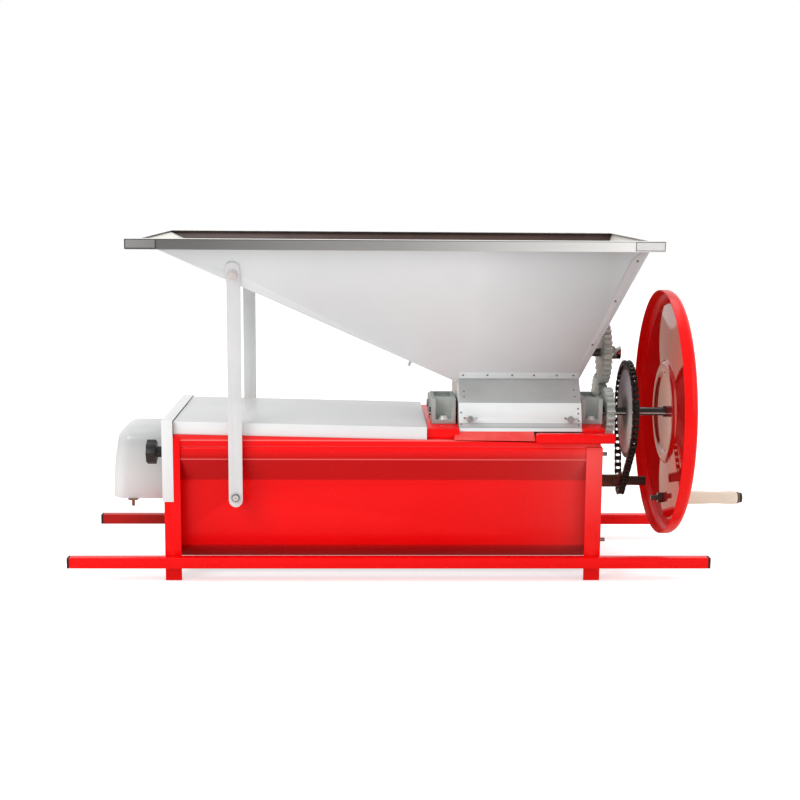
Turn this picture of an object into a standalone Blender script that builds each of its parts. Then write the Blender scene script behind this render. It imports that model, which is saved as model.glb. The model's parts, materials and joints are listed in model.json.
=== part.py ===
"""Grape crusher destemmer with hopper, crushing rollers, auger and hand cranked flywheel.

Metres, +Z up. The machine is laid out in its own frame: x runs along the body towards the
flywheel, y = 0 is the body's middle plane with +y at the back, and z = 0 is the floor. One
parent empty then shifts everything so that the origin is the middle of the footprint.
"""
import math

import bmesh
import bpy
import numpy as np
from mathutils import Matrix, Vector

# Clearances and sheet gauges
fit_gap = 0.0003
running_gap = 0.0002
cut_overrun = 0.002
body_sheet = 0.0015
cover_sheet = 0.0012
hopper_sheet = 0.0015

# Carrying bars
bar_length = 1.186
bar_side = 0.020
bar_wall = 0.0022
bar_bottom = 0.028
plug_cap = 0.004
plug_depth = 0.014
bar_pin = 0.006

# Body: legs, side panels, end plates, deck
body_length = 0.8055
body_right = 0.39
body_width = 0.318
leg_side = 0.030
leg_thickness = 0.003
leg_drop = 0.006
deck_fall = 0.0165
deck_height_right = 0.2575
rail_depth = 0.030
crease_drop = 0.0056
crease_depth = 0.002
panel_top_drop = 0.072
panel_low = 0.062
panel_bottom = 0.037
panel_inset = 0.0222
panel_lip_run = 0.018
top_flange = 0.022
deck_sheet = 0.002
end_plate_sheet = 0.002

# Lid over the destemming drum
lid_right = 0.066
lid_inset = 0.007
lid_height = 0.0235

# Stem outlet hood at the left end
hood_length = 0.1100
hood_inset = 0.0830
hood_top_drop = 0.0030
hood_height = 0.1347
hood_curve = 0.030
hood_lean_deg = 11.0
hood_side_round = 0.045
hood_side_drop = 0.027
hood_sheet = 0.0025
flange_width = 0.020
flange_rise_low = 0.0127
flange_rise = 0.0025
flange_hole_inset = 0.006
flange_hole_rise = 0.0110
flange_hole_drop = 0.0290
knob_inset = 0.0339
knob_drop = 0.0380
knob_radius = 0.0232
knob_head = 0.0175
knob_neck_radius = 0.0103
knob_neck = 0.014
knob_screw_radius = 0.0032
knob_screw = 0.020
knob_lobes = 8
knob_lobe_facets = 4
knob_ripple_share = 0.07
hood_stud_radius = 0.003
hood_stud_length = 0.0137
hood_stud_inset = 0.0426
hood_washer_radius = 0.01
hood_washer = 0.0016

# Hopper
rim_overhang_left = 0.0514
rim_overhang_right = 0.0891
rim_width = 0.45
rim_height = 0.0185
hopper_height = 0.2644
rim_sheet = 0.0015
corner_cap_reach = 0.054
corner_cap_sheet = 0.0012
rim_lip = 0.025
hopper_inset_left = 0.0166
hopper_inset_right = 0.0175
hopper_top_half = 0.2115
hopper_foot_half = 0.0765
left_foot_drop = 0.008

# Straps that stay the hopper
strap_inset = 0.0379
strap_width = 0.025
strap_thickness = 0.003
strap_stand = 0.0093
strap_low_reach = 0.0183
strap_top_reach = 0.0221
strap_low_drop = 0.0255
strap_top_drop = 0.0623
spacer_radius = 0.008
bolt_head_radius = 0.0072
bolt_head = 0.0045
bolt_shank_radius = 0.004
washer_radius = 0.010
washer_thickness = 0.0016
bolt_hole_gap = 0.0004

# Crusher box
crusher_left = 0.1266
crusher_right = 0.3552
crusher_high_panel = 0.040
crusher_low_panel = 0.0444
crusher_crease_half = 0.1125
crusher_lip_rise = 0.0053
crusher_low_half = 0.1287
crusher_lip_drop = 0.0055
crusher_lip_half = 0.135
wing_nut_x_left = 0.147
wing_nut_x_right = 0.3335
wing_nut_rise = 0.0147
wing_span = 0.026
wing_thickness = 0.003
wing_rise = 0.017
wing_hub_radius = 0.006
wing_hub = 0.007

# Cross rails, ledge bar and bearing blocks
rail_left_start = 0.067
rail_right_end = 0.3955
rail_rise = 0.0255
rail_inset = 0.015
rail_sheet = 0.003
ledge_start = 0.2656
ledge_end = 0.4118
ledge_height = 0.018
ledge_reach = 0.012
ledge_depth = 0.020
ledge_round_share = 0.2
block_left_start = 0.0778
block_left_length = 0.0448
block_right_start = 0.3596
block_right_length = 0.0396
block_half_width = 0.0958
block_height = 0.0476
block_rear_height = 0.032
block_front_depth = 0.102
block_recess = 0.006
block_wall = 0.007
block_floor = 0.008
pocket_depth = 0.024
bush_radius = 0.014

# Drive
roller_rise = 0.0177
front_roller_y = -0.0423
gear_module = 0.004
gear_pressure_deg = 20.0
gear_backlash = 0.0004
gear_root_share = 1.25
gear_flank_steps = 3
front_gear_teeth = 21
rear_gear_teeth = 28
auger_gear_teeth = 28
gear_start = 0.409
gear_width = 0.0155
gear_hub = 0.006
auger_rise = 0.106
shaft_radius = 0.008
shaft_left_end = 0.074
roller_radius = 0.0465
roller_flutes = 9
flute_depth = 0.006
flute_top_share = 0.35
flute_side_share = 0.15
roller_end_gap = 0.003
auger_shaft_radius = 0.008
auger_left_end = 0.068
auger_radius = 0.034
auger_blade = 0.003
auger_blade_start = 0.134
auger_blade_end = 0.338
auger_turns = 2.5
auger_facets = 16
blade_root_share = 0.7
bush_wall = 0.006
foot_length = 0.014
foot_lug_start = 0.030
foot_lug = 0.005
foot_bolt_x = 0.0455
foot_nut = 0.005
foot_nut_radius = 0.0055
foot_stud = 0.021
foot_stud_radius = 0.003
auger_nut_radius = 0.0131
auger_nut = 0.0239

# Destemming shaft and screen
sprocket_spacing = 0.1508
destemmer_radius = 0.0092
destemmer_right_end = 0.502
paddle_count = 10
paddle_gap = 0.012
paddle_stem = 0.010
paddle_head = 0.044
paddle_head_depth = 0.014
paddle_thickness = 0.005
paddle_inset = 0.0705
paddle_end = 0.330
paddle_step_deg = 108.0
screen_inset = 0.0328
screen_sheet = 0.0015
screen_cells_along = 12
screen_cells_round = 5
screen_hole_share = 0.62
screen_open_share = 0.05
bush_flange = 0.006
outlet_floor = 0.020
outlet_inset = 0.008

# Chain and sprockets
chain_pitch = 0.0127
chain_links = 55
chain_roller_radius = 0.004
chain_inner_width = 0.006
chain_plate = 0.0013
chain_plate_height = 0.011
waist_share = 0.72
chain_x = 0.4532
big_sprocket_teeth = 46
small_sprocket_teeth = 11
sprocket_thickness = 0.005
tooth_cut = 0.0022
tooth_root_share = 0.32
tooth_tip_share = 0.12
big_hub_radius = 0.0155
small_hub_radius = 0.0122
big_hub = 0.0233

# Flywheel and crank grip
wheel_radius = 0.2328
wheel_back = 0.528
wheel_sheet = 0.002
wheel_depth = 0.0261
wheel_corner = 0.014
wheel_web_radius = 0.205
wheel_web_step = 0.0085
wheel_step_run = 0.008
wheel_emboss_radius = 0.0865
wheel_emboss_width = 0.0135
wheel_emboss_depth = 0.006
wheel_nut_radius = 0.014
wheel_nut = 0.010
wheel_collar = 0.005
wheel_collar_radius = 0.0105
crank_throw = 0.1689
spindle_radius = 0.005
spindle_head_radius = 0.010
grip_radius = 0.0129
grip_length = 0.1414
grip_collar = 0.006
grip_bore_gap = 0.0003
grip_run_shares = (0.0, 0.04, 0.20, 0.45, 0.66, 0.84, 0.95, 1.0)
grip_wide_shares = (0.80, 0.93, 1.0, 0.97, 0.90, 0.99, 0.96, 0.80)
spindle_tip = 0.004
spindle_inner = 0.022
spindle_nut = 0.009

# Guard studs
stud_radius = 0.00375
stud_length = 0.010
stud_high_drop = 0.0200
stud_low_rise = 0.0130
stud_inset = 0.0132

# Facets
round_sides = 24
small_sides = 12
wheel_sides = 40
link_sides = 6
smooth_angle_deg = 35.0

# Places worked out from the sizes above
body_left = body_right - body_length
rim_left = body_left - rim_overhang_left
rim_right = body_right + rim_overhang_right
hopper_top_left = rim_left + hopper_inset_left
hopper_top_right = rim_right - hopper_inset_right
paddle_start = body_left + paddle_inset
leg_outer = body_width / 2
deck_height_left = deck_height_right + deck_fall
rail_crease = deck_height_right - crease_drop
rail_low = deck_height_right - rail_depth
panel_top = deck_height_right - panel_top_drop
panel_half_depth = leg_outer - panel_inset
panel_lip_half_depth = panel_half_depth - panel_lip_run
rail_half_width = leg_outer - rail_inset
rail_top = deck_height_right + rail_rise
rail_plane = leg_outer - leg_thickness - fit_gap
plate_left_x = body_left + leg_thickness + fit_gap
plate_right_x = body_right - leg_thickness - fit_gap
hood_half_width = leg_outer - hood_inset
hood_top = deck_height_left - hood_top_drop
hood_bottom = hood_top - hood_height
flange_bottom = hood_bottom + flange_rise_low
flange_hole_half = hood_half_width - flange_hole_inset
flange_hole_bottom = flange_bottom + flange_hole_rise
flange_hole_top = deck_height_left - flange_hole_drop
knob_half_spacing = leg_outer - knob_inset
knob_height = deck_height_left - knob_drop
roller_height = rail_top + roller_rise
crusher_lip = rail_top - crusher_lip_drop
crusher_low = crusher_lip + crusher_lip_rise
crusher_crease = crusher_low + crusher_low_panel
crusher_top = crusher_crease + crusher_high_panel
rear_roller_y = front_roller_y + gear_module * (front_gear_teeth + rear_gear_teeth) / 2
auger_height = roller_height + auger_rise
auger_spacing = gear_module * (rear_gear_teeth + auger_gear_teeth) / 2
auger_y = rear_roller_y - math.sqrt(auger_spacing ** 2 - auger_rise ** 2)
destemmer_height = roller_height - math.sqrt(sprocket_spacing ** 2 - front_roller_y ** 2)
screen_radius = panel_half_depth - screen_inset
stem_outlet_radius = screen_radius - outlet_inset
rim_top = crusher_top + hopper_height
hopper_foot = crusher_top + fit_gap
hopper_head = rim_top - rim_sheet - fit_gap
left_foot_height = crusher_top - left_foot_drop
left_wall_run_share = (crusher_left - hopper_top_left) / (hopper_head - left_foot_height)
strap_plane = leg_outer + strap_stand
strap_low_bolt = panel_top - strap_low_drop
strap_low_end = strap_low_bolt - strap_low_reach
strap_top_bolt = rim_top - strap_top_drop
strap_top_end = strap_top_bolt + strap_top_reach
strap_x = crusher_left - (strap_top_bolt - left_foot_height) * left_wall_run_share + strap_inset
grip_start = wheel_back + wheel_sheet + fit_gap
grip_end = grip_start + grip_collar + fit_gap + grip_length
grip_tip = grip_end + fit_gap + spindle_tip
bar_half = bar_length / 2
rim_half = rim_width / 2
footprint_x = (grip_tip - bar_half) / 2
footprint_y = (rim_half + front_roller_y - wheel_radius) / 2
deck_rise = fit_gap + deck_sheet


def deck_z(x):
    """Height of the side panels' upper edge, which falls a little towards the crusher end."""
    share = (x - body_left) / body_length
    return deck_height_left + (deck_height_right - deck_height_left) * share


# Helpers for shapes
for old in list(bpy.data.objects):
    bpy.data.objects.remove(old, do_unlink=True)


def material(name, colour, roughness, metallic=0.0):
    """One plain finish."""
    made = bpy.data.materials.new(name)
    made.use_nodes = True
    shader = made.node_tree.nodes["Principled BSDF"]
    shader.inputs["Base Color"].default_value = (*colour, 1.0)
    shader.inputs["Roughness"].default_value = roughness
    shader.inputs["Metallic"].default_value = metallic
    made.diffuse_color = (*colour, 1.0)
    return made


red_paint = material("red_paint", (0.75, 0.010, 0.012), 0.28)
white_paint = material("white_paint", (0.80, 0.81, 0.80), 0.35)
hopper_grey = material("hopper_grey", (0.42, 0.43, 0.44), 0.40, 0.3)
satin_steel = material("satin_steel", (0.45, 0.46, 0.45), 0.32, 0.9)
bright_steel = material("bright_steel", (0.72, 0.72, 0.71), 0.20, 1.0)
cast_grey = material("cast_grey", (0.42, 0.44, 0.42), 0.50, 0.2)
gear_grey = material("gear_grey", (0.50, 0.54, 0.50), 0.50)
dark_steel = material("dark_steel", (0.10, 0.095, 0.09), 0.40, 0.9)
bronze = material("bronze", (0.45, 0.27, 0.12), 0.40, 0.9)
black_plastic = material("black_plastic", (0.015, 0.015, 0.016), 0.45)
pale_wood = material("pale_wood", (0.74, 0.60, 0.40), 0.55)


def empty(name, place, parent=None):
    """A parent without shape, at a named place."""
    made = bpy.data.objects.new(name, None)
    bpy.context.scene.collection.objects.link(made)
    made.location = place
    made.parent = parent
    return made


machine = empty("machine", (-footprint_x, -footprint_y, 0.0))
crank_axis = empty("crank_axis", (0.0, front_roller_y, roller_height), machine)
rear_axis = empty("rear_axis", (0.0, rear_roller_y, roller_height), machine)
auger_axis = empty("auger_axis", (0.0, auger_y, auger_height), machine)
destemmer_axis = empty("destemmer_axis", (0.0, 0.0, destemmer_height), machine)
grip_axis = empty("grip_axis", (0.0, front_roller_y, roller_height - crank_throw), machine)


def node(name, bm, finish, parent=machine, smooth=False):
    """Turn a finished mesh into a named object under its parent."""
    bmesh.ops.recalc_face_normals(bm, faces=bm.faces[:])
    mesh = bpy.data.meshes.new(name)
    bm.to_mesh(mesh)
    bm.free()
    mesh.materials.append(finish)
    if smooth:
        mesh.shade_smooth()
        mesh.set_sharp_from_angle(angle=math.radians(smooth_angle_deg))
    made = bpy.data.objects.new(name, mesh)
    bpy.context.scene.collection.objects.link(made)
    made.parent = parent
    return made


def combine(target, bm, operation):
    """Boolean modifier on the target with the given shapes as its hidden tool."""
    tool = node(f"tool_{len(bpy.data.objects)}", bm, black_plastic, target.parent)
    tool.hide_render = True
    tool.display_type = "WIRE"
    change = target.modifiers.new(operation.lower(), "BOOLEAN")
    change.operation = operation
    change.object = tool


def cut(target, bm):
    """Take the given shapes out of the target."""
    combine(target, bm, "DIFFERENCE")


def weld(target, bm):
    """Join the given shapes to the target as one body."""
    combine(target, bm, "UNION")


def spot(across, up, along, axis):
    """A point from its two plane coordinates and its place along the axis."""
    if axis == "x":
        return Vector((along, across, up))
    if axis == "y":
        return Vector((across, along, up))
    return Vector((across, up, along))


def bridge(bm, one, two, closed=True):
    """Join two like rows of vertices with faces."""
    count = len(one)
    for i in range(count if closed else count - 1):
        j = (i + 1) % count
        bm.faces.new((one[i], one[j], two[j], two[i]))


def chain_rings(bm, rings, closed=False):
    """Join each ring of vertices to the next, and the last to the first if closed."""
    for one, two in zip(rings, rings[1:] + rings[:closed]):
        bridge(bm, one, two)


def square(half_across, half_up, centre=(0.0, 0.0)):
    """Corners of a rectangle."""
    return [(centre[0] + a * half_across, centre[1] + b * half_up)
            for a, b in ((-1, -1), (1, -1), (1, 1), (-1, 1))]


def plate(bm, loops, start, end, axis="x"):
    """Extrude an outline, with any holes after it, from start to end along the axis."""
    floor = [[bm.verts.new(spot(a, b, start, axis)) for a, b in loop] for loop in loops]
    twin = {v: bm.verts.new(v.co + spot(0.0, 0.0, end - start, axis)) for loop in floor for v in loop}
    if len(floor) == 1:
        caps = [bm.faces.new(floor[0])]
    else:
        rim = [bm.edges.new(pair) for loop in floor for pair in zip(loop, loop[1:] + loop[:1])]
        filled = bmesh.ops.triangle_fill(bm, edges=rim, use_beauty=True)
        caps = [f for f in filled["geom"] if isinstance(f, bmesh.types.BMFace)]
    for cap in caps:
        bm.faces.new([twin[v] for v in cap.verts])
    for loop in floor:
        bridge(bm, loop, [twin[v] for v in loop])
    return bm


def box(bm, x0, x1, y0, y1, z0, z1):
    """A plain block."""
    return plate(bm, [[(y0, z0), (y1, z0), (y1, z1), (y0, z1)]], x0, x1)


def loft(bm, first, first_x, second, second_x):
    """Join one (y, z) outline at first_x to a like one at second_x."""
    near = [bm.verts.new((first_x, y, z)) for y, z in first]
    far = [bm.verts.new((second_x, y, z)) for y, z in second]
    bm.faces.new(near)
    bm.faces.new(far)
    bridge(bm, near, far)
    return bm


def circle(radius, sides=round_sides, centre=(0.0, 0.0), turn=0.0):
    """Points round a circle."""
    return [(centre[0] + radius * math.cos(turn + math.tau * i / sides),
             centre[1] + radius * math.sin(turn + math.tau * i / sides)) for i in range(sides)]


def clear_radius(radius, gap, sides=round_sides):
    """Corner radius of a many sided hole whose flats clear a round of this radius."""
    return (radius + gap) / math.cos(math.pi / sides)


def turned(bm, profile, sides=round_sides, closed=False, centre=(0.0, 0.0), axis="x"):
    """Turn (radius, along) points about the axis. A point of no radius is a pole."""
    rings = []
    for radius, along in profile:
        if radius == 0.0:
            rings.append([bm.verts.new(spot(centre[0], centre[1], along, axis))])
        else:
            rings.append([bm.verts.new(spot(a, b, along, axis)) for a, b in circle(radius, sides, centre)])
    pairs = list(zip(rings, rings[1:]))
    if closed:
        pairs.append((rings[-1], rings[0]))
    for one, two in pairs:
        for i in range(sides):
            j = (i + 1) % sides
            corners = [one[i % len(one)], one[j % len(one)], two[j % len(two)], two[i % len(two)]]
            bm.faces.new(list(dict.fromkeys(corners)))
    return bm


def beside(path, distance):
    """Copy of a path, moved to its left."""
    count = len(path)
    shifted = []
    for i in range(count):
        before = Vector(path[max(i - 1, 0)])
        here = Vector(path[i])
        after = Vector(path[min(i + 1, count - 1)])
        first = (here - before) if i else (after - here)
        second = (after - here) if i < count - 1 else first
        sides = [Vector((-d.y, d.x)).normalized() for d in (first, second)]
        middle = (sides[0] + sides[1]).normalized()
        shifted.append(tuple(here + middle * (distance / middle.dot(sides[0]))))
    return shifted


def at_height(one, two, z):
    """Point at a height on the line through two (y, z) points."""
    share = (z - one[1]) / (two[1] - one[1])
    return (one[0] + (two[0] - one[0]) * share, z)


def strip_outline(path, thickness):
    """Outline of a folded sheet: the path and its copy one thickness to the left."""
    return list(path) + beside(path, thickness)[::-1]


def aim(bm, start_index, origin, direction):
    """Turn and move the vertices made since start_index from +Z at zero to a place and direction."""
    turn = Vector((0.0, 0.0, 1.0)).rotation_difference(Vector(direction)).to_matrix().to_4x4()
    bm.verts.ensure_lookup_table()
    bmesh.ops.transform(bm, matrix=Matrix.Translation(origin) @ turn, verts=bm.verts[start_index:])


def nut_profile(seat, way=1):
    """Washer and hex head in one from its seat out to its pole, as (radius, along)."""
    inner = seat + way * washer_thickness
    outer = inner + way * bolt_head
    return [(washer_radius, seat), (washer_radius, inner), (bolt_head_radius, inner),
            (bolt_head_radius, outer), (0.0, outer)]


def bolt(bm, origin, direction, held):
    """Head, washers, shank and nut in one: the head's seat is at origin, the shank goes along."""
    start = len(bm.verts)
    tail = held + 2 * fit_gap
    shank = [(bolt_shank_radius, 0.0), (bolt_shank_radius, tail)]
    turned(bm, nut_profile(0.0, -1)[::-1] + shank + nut_profile(tail), small_sides, axis="z")
    aim(bm, start, origin, direction)


def bolt_hole(bm, origin, direction, length):
    """Cutter for a bolt's hole, run past both ends."""
    start = len(bm.verts)
    plate(bm, [circle(clear_radius(bolt_shank_radius, bolt_hole_gap, small_sides), small_sides)],
          -cut_overrun, length + cut_overrun, "z")
    aim(bm, start, origin, direction)


# Carrying bars and legs
def bar_centre(side):
    """Middle of a carrying bar's section, as (y, z)."""
    return side * (leg_outer + fit_gap + bar_side / 2), bar_bottom + bar_side / 2


def carry_bar(name, side):
    """Square tube along one side, held to the outside of the legs by a pin through its inner wall."""
    y, z = bar_centre(side)
    half = bar_side / 2
    loops = [square(h, h, (y, z)) for h in (half, half - bar_wall)]
    end = bar_half - plug_cap - fit_gap
    tube = node(name, plate(bmesh.new(), loops, -end, end), red_paint)
    cutter = bmesh.new()
    for x in leg_pin_places():
        bolt_hole(cutter, (x, y - side * half, z), (0, side, 0), bar_wall)
    cut(tube, cutter)


def leg_pin_places():
    """Where the bars are held to the legs, along x."""
    return (body_left + leg_side / 2, body_right - leg_side / 2)


def bar_plug(name, end, side):
    """Plastic plug that closes one end of a bar."""
    bm = bmesh.new()
    stem = bar_side / 2 - bar_wall - fit_gap
    neck = bar_half - plug_cap
    rings = []
    for half, along in ((bar_side / 2, bar_half), (bar_side / 2, neck), (stem, neck),
                        (stem, neck - plug_depth)):
        rings.append([bm.verts.new((end * along, y, z)) for y, z in square(half, half, bar_centre(side))])
    bm.faces.new(rings[0])
    bm.faces.new(rings[-1])
    chain_rings(bm, rings)
    node(name, bm, black_plastic)


def leg(name, end, side):
    """Equal angle, its corner outwards, with the pin that holds the bar and any guard studs."""
    x = body_left if end < 0 else body_right
    y = side * leg_outer
    inner_x, inner_y = x - end * leg_side, y - side * leg_side
    thin_x, thin_y = x - end * leg_thickness, y - side * leg_thickness
    outline = [(x, y), (inner_x, y), (inner_x, thin_y), (thin_x, thin_y), (thin_x, inner_y), (x, inner_y)]
    made = node(name, plate(bmesh.new(), [outline], 0.0, deck_z(x) - leg_drop, "z"), red_paint)
    studs = bmesh.new()
    root = -leg_thickness / 2
    pin = [(0.0, root), (bolt_shank_radius, root), (bolt_shank_radius, bar_pin), (0.0, bar_pin)]
    turned(studs, pin, small_sides, axis="z")
    aim(studs, 0, (x - end * leg_side / 2, y, bar_bottom + bar_side / 2), (0, side, 0))
    if end > 0:
        for height in (deck_height_right - stud_high_drop, panel_low + stud_low_rise):
            plate(studs, [circle(stud_radius, small_sides, (side * (leg_outer - stud_inset), height))],
                  x - leg_thickness / 2, x + stud_length)
    weld(made, studs)


# Body panels
def panel_path(x):
    """Outer line of a side sheet: top flange, creased rail, step in, flat panel and inward lip."""
    top = deck_z(x)
    return [(rail_plane - top_flange, top), (rail_plane, top), (rail_plane, rail_crease),
            (rail_plane - crease_depth, rail_crease - crease_depth),
            (rail_plane, rail_crease - 2 * crease_depth),
            (rail_plane, rail_low), (panel_half_depth, panel_top), (panel_half_depth, panel_low),
            (panel_lip_half_depth, panel_bottom)]


def side_panel(name, side):
    """Folded side sheet with its bolt hole."""
    def outline(x):
        return [(side * y, z) for y, z in strip_outline(panel_path(x), -body_sheet)]
    made = node(name, loft(bmesh.new(), outline(plate_left_x), plate_left_x,
                           outline(plate_right_x), plate_right_x), red_paint)
    cutter = bmesh.new()
    bolt_hole(cutter, (strap_x, side * panel_half_depth, strap_low_bolt), (0, -side, 0), body_sheet)
    cut(made, cutter)


def end_plate(name, x, end, holes):
    """Sheet that closes one end between the side panels, with a bush for the destemming shaft."""
    right = beside(panel_path(max(x, x - end * end_plate_sheet)), -body_sheet - fit_gap)[1:]
    outline = right + [(-y, z) for y, z in right[::-1]]
    inner = x - end * end_plate_sheet
    made = node(name, plate(bmesh.new(), [outline] + holes, x, inner), red_paint)
    centre = (0.0, destemmer_height)
    outside = x + end * bush_flange if end > 0 else x - end * end_plate_sheet / 2
    bush = plate(bmesh.new(), [circle(bush_radius, round_sides, centre)], inner - end * bush_flange, outside)
    weld(made, bush)
    bore = circle(clear_radius(destemmer_radius, running_gap), round_sides, centre)
    deep = outside + cut_overrun if end > 0 else inner
    cut(made, plate(bmesh.new(), [bore], inner - end * (bush_flange + cut_overrun), deep))


def knob_screw_holes():
    """Holes for the two knob screws, as outlines."""
    radius = clear_radius(knob_screw_radius, fit_gap, small_sides)
    return [circle(radius, small_sides, (side * knob_half_spacing, knob_height)) for side in (-1, 1)]


def end_plates():
    """Left plate with the stem outlet over the shaft, right plate with the shaft through it."""
    floor = math.asin(outlet_floor / stem_outlet_radius)
    arc = round_sides // 2
    angles = [floor + (math.pi - 2 * floor) * i / arc for i in range(arc + 1)]
    outlet = [(stem_outlet_radius * math.cos(a), destemmer_height + stem_outlet_radius * math.sin(a))
              for a in angles]
    end_plate("end_plate_left", plate_left_x + fit_gap, -1, [outlet] + knob_screw_holes())
    end_plate("end_plate_right", plate_right_x - fit_gap, 1, [])


def deck_plate():
    """Top plate of the crusher end with the opening that the crushed grapes fall through."""
    bm = bmesh.new()
    frames = ((rail_left_start, plate_right_x, rail_half_width),
              (crusher_left + rail_sheet, crusher_right - rail_sheet, crusher_crease_half))
    levels = []
    for rise in (deck_rise, fit_gap):
        for start, end, half in frames:
            corners = ((start, -half), (end, -half), (end, half), (start, half))
            levels.append([bm.verts.new((x, y, deck_z(x) + rise)) for x, y in corners])
    top_outer, top_inner, low_outer, low_inner = levels
    chain_rings(bm, [top_outer, top_inner, low_inner, low_outer], closed=True)
    node("deck_plate", bm, red_paint)


def cross_rail(name, x0, x1):
    """Upturned tray across the deck, which carries a bearing block."""
    thick, under = rail_sheet, rail_top - rail_sheet
    base0, base1 = (deck_z(x) + deck_rise + fit_gap for x in (x0, x1))
    path = [(x0, base0), (x0, rail_top), (x1, rail_top), (x1, base1)]
    made = node(name, plate(bmesh.new(), [path], -rail_half_width, rail_half_width, "y"), red_paint)
    inner = rail_half_width - thick
    cut(made, box(bmesh.new(), x0 + thick, x1 - thick, -inner, inner, min(base0, base1) - cut_overrun, under))


def ledge_bar():
    """Flat rest bar on the front edge of the body at the crank end."""
    low = deck_z(ledge_start) + fit_gap
    front = -leg_outer - ledge_reach
    bm = box(bmesh.new(), ledge_start, ledge_end, front, front + ledge_depth, low, low + ledge_height)
    made = node("ledge_bar", bm, red_paint)
    bevel = made.modifiers.new("round_edges", "BEVEL")
    bevel.width = ledge_depth * ledge_round_share
    bevel.segments = 2


def lid():
    """Folded white cover over the drum, lying on the body's upper edge."""
    bm = bmesh.new()
    left = body_left + flange_width - flange_rise
    levels = []
    for inset in (0.0, cover_sheet):
        x0, x1, half = left + inset, lid_right - inset, (leg_outer - lid_inset) - inset
        for rise in (0.0, lid_height - inset):
            levels.append([bm.verts.new((x, y, deck_z(x) + fit_gap + rise))
                           for x, y in ((x0, -half), (x1, -half), (x1, half), (x0, half))])
    outer_low, outer_top, inner_low, inner_top = levels
    bm.faces.new(outer_top)
    bm.faces.new(inner_top)
    chain_rings(bm, [outer_top, outer_low, inner_low, inner_top])
    node("top_lid", bm, white_paint)


# Stem outlet hood
def hood_inner_x():
    """Face of the flange plate that the hood stands on."""
    return body_left - fit_gap - hood_sheet


def hood_shell(bm, profile, right, offset):
    """One skin of the hood: a row of vertices for each profile point, and its two low corners."""
    edge = 6
    angles = [math.pi / 2 * j / edge for j in range(edge + 1)]
    flat_half, bend, drop = hood_half_width - hood_side_round, hood_side_round - offset, hood_side_drop - offset
    rows = []
    for (x, z), (nx, nz) in profile:
        row = []
        for side, turn in ((-1, angles[::-1]), (1, angles)):
            for angle in turn:
                depth = offset + drop * (1 - math.cos(angle))
                y = side * (flat_half + bend * math.sin(angle))
                row.append(bm.verts.new((x - nx * depth, y, z - nz * depth)))
        rows.append(row)
    corners = [bm.verts.new((right, rows[0][pick].co.y, hood_bottom)) for pick in (0, -1)]
    for one, two in zip(rows, rows[1:]):
        bridge(bm, one, two, closed=False)
    for corner, pick in zip(corners, (0, -1)):
        bm.faces.new([row[pick] for row in rows] + [corner])
    return rows, corners


def hood_profile(right):
    """Hood's upper line from the body round to its low edge: a tight curve, then a long slow one."""
    lean, curve, left = math.radians(hood_lean_deg), hood_curve, right - hood_length
    joint_height = hood_top - curve * (1 - math.sin(lean))
    slow = (joint_height - hood_bottom) / math.sin(lean)
    middle = left + slow * (1 - math.cos(lean)) + curve * math.cos(lean)
    profile = [((right, hood_top), (0.0, 1.0))]
    arc, slow_arc = 9, 4
    for i in range(arc + 1):
        angle = math.pi / 2 + (math.pi / 2 - lean) * i / arc
        normal = (math.cos(angle), math.sin(angle))
        profile.append(((middle + curve * normal[0], hood_top - curve + curve * normal[1]), normal))
    for i in range(1, slow_arc + 1):
        angle = math.pi - lean + lean * i / slow_arc
        normal = (math.cos(angle), math.sin(angle))
        profile.append(((left + slow * (1 + normal[0]), hood_bottom + slow * normal[1]), normal))
    return profile


def stem_hood():
    """Rounded hood that throws the stems down: open below and towards the body."""
    bm = bmesh.new()
    right = hood_inner_x() - fit_gap
    profile = hood_profile(right)
    outer, outer_corners = hood_shell(bm, profile, right, 0.0)
    inner, inner_corners = hood_shell(bm, profile, right, hood_sheet)
    for pick in (0, -1):
        bridge(bm, outer[pick], inner[pick], closed=False)
        for row in (0, -1):
            bm.faces.new((outer[row][pick], inner[row][pick], inner_corners[pick], outer_corners[pick]))
    node("stem_hood", bm, white_paint, smooth=True)


def hood_flange():
    """White cap over the body's left end: a plate with the stem opening and a folded skirt."""
    face = body_left - fit_gap
    half, thin = leg_outer + fit_gap + cover_sheet, cover_sheet
    top = deck_z(body_left) + lid_height + flange_rise
    right = body_left + flange_width - flange_rise - 2 * fit_gap
    outline = [(-half, flange_bottom), (half, flange_bottom), (half, top), (-half, top)]
    opening_middle = (0.0, (flange_hole_top + flange_hole_bottom) / 2)
    opening = square(flange_hole_half, (flange_hole_top - flange_hole_bottom) / 2, opening_middle)
    bm = plate(bmesh.new(), [outline, opening] + knob_screw_holes(), face - hood_sheet, face)
    base = node("hood_flange", bm, white_paint)
    skirt = [(-half, flange_bottom), (-half, top), (half, top), (half, flange_bottom),
             (half - thin, flange_bottom), (half - thin, top - thin), (-half + thin, top - thin),
             (-half + thin, flange_bottom)]
    weld(base, plate(bmesh.new(), [skirt], face - hood_sheet / 2, right))


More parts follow.
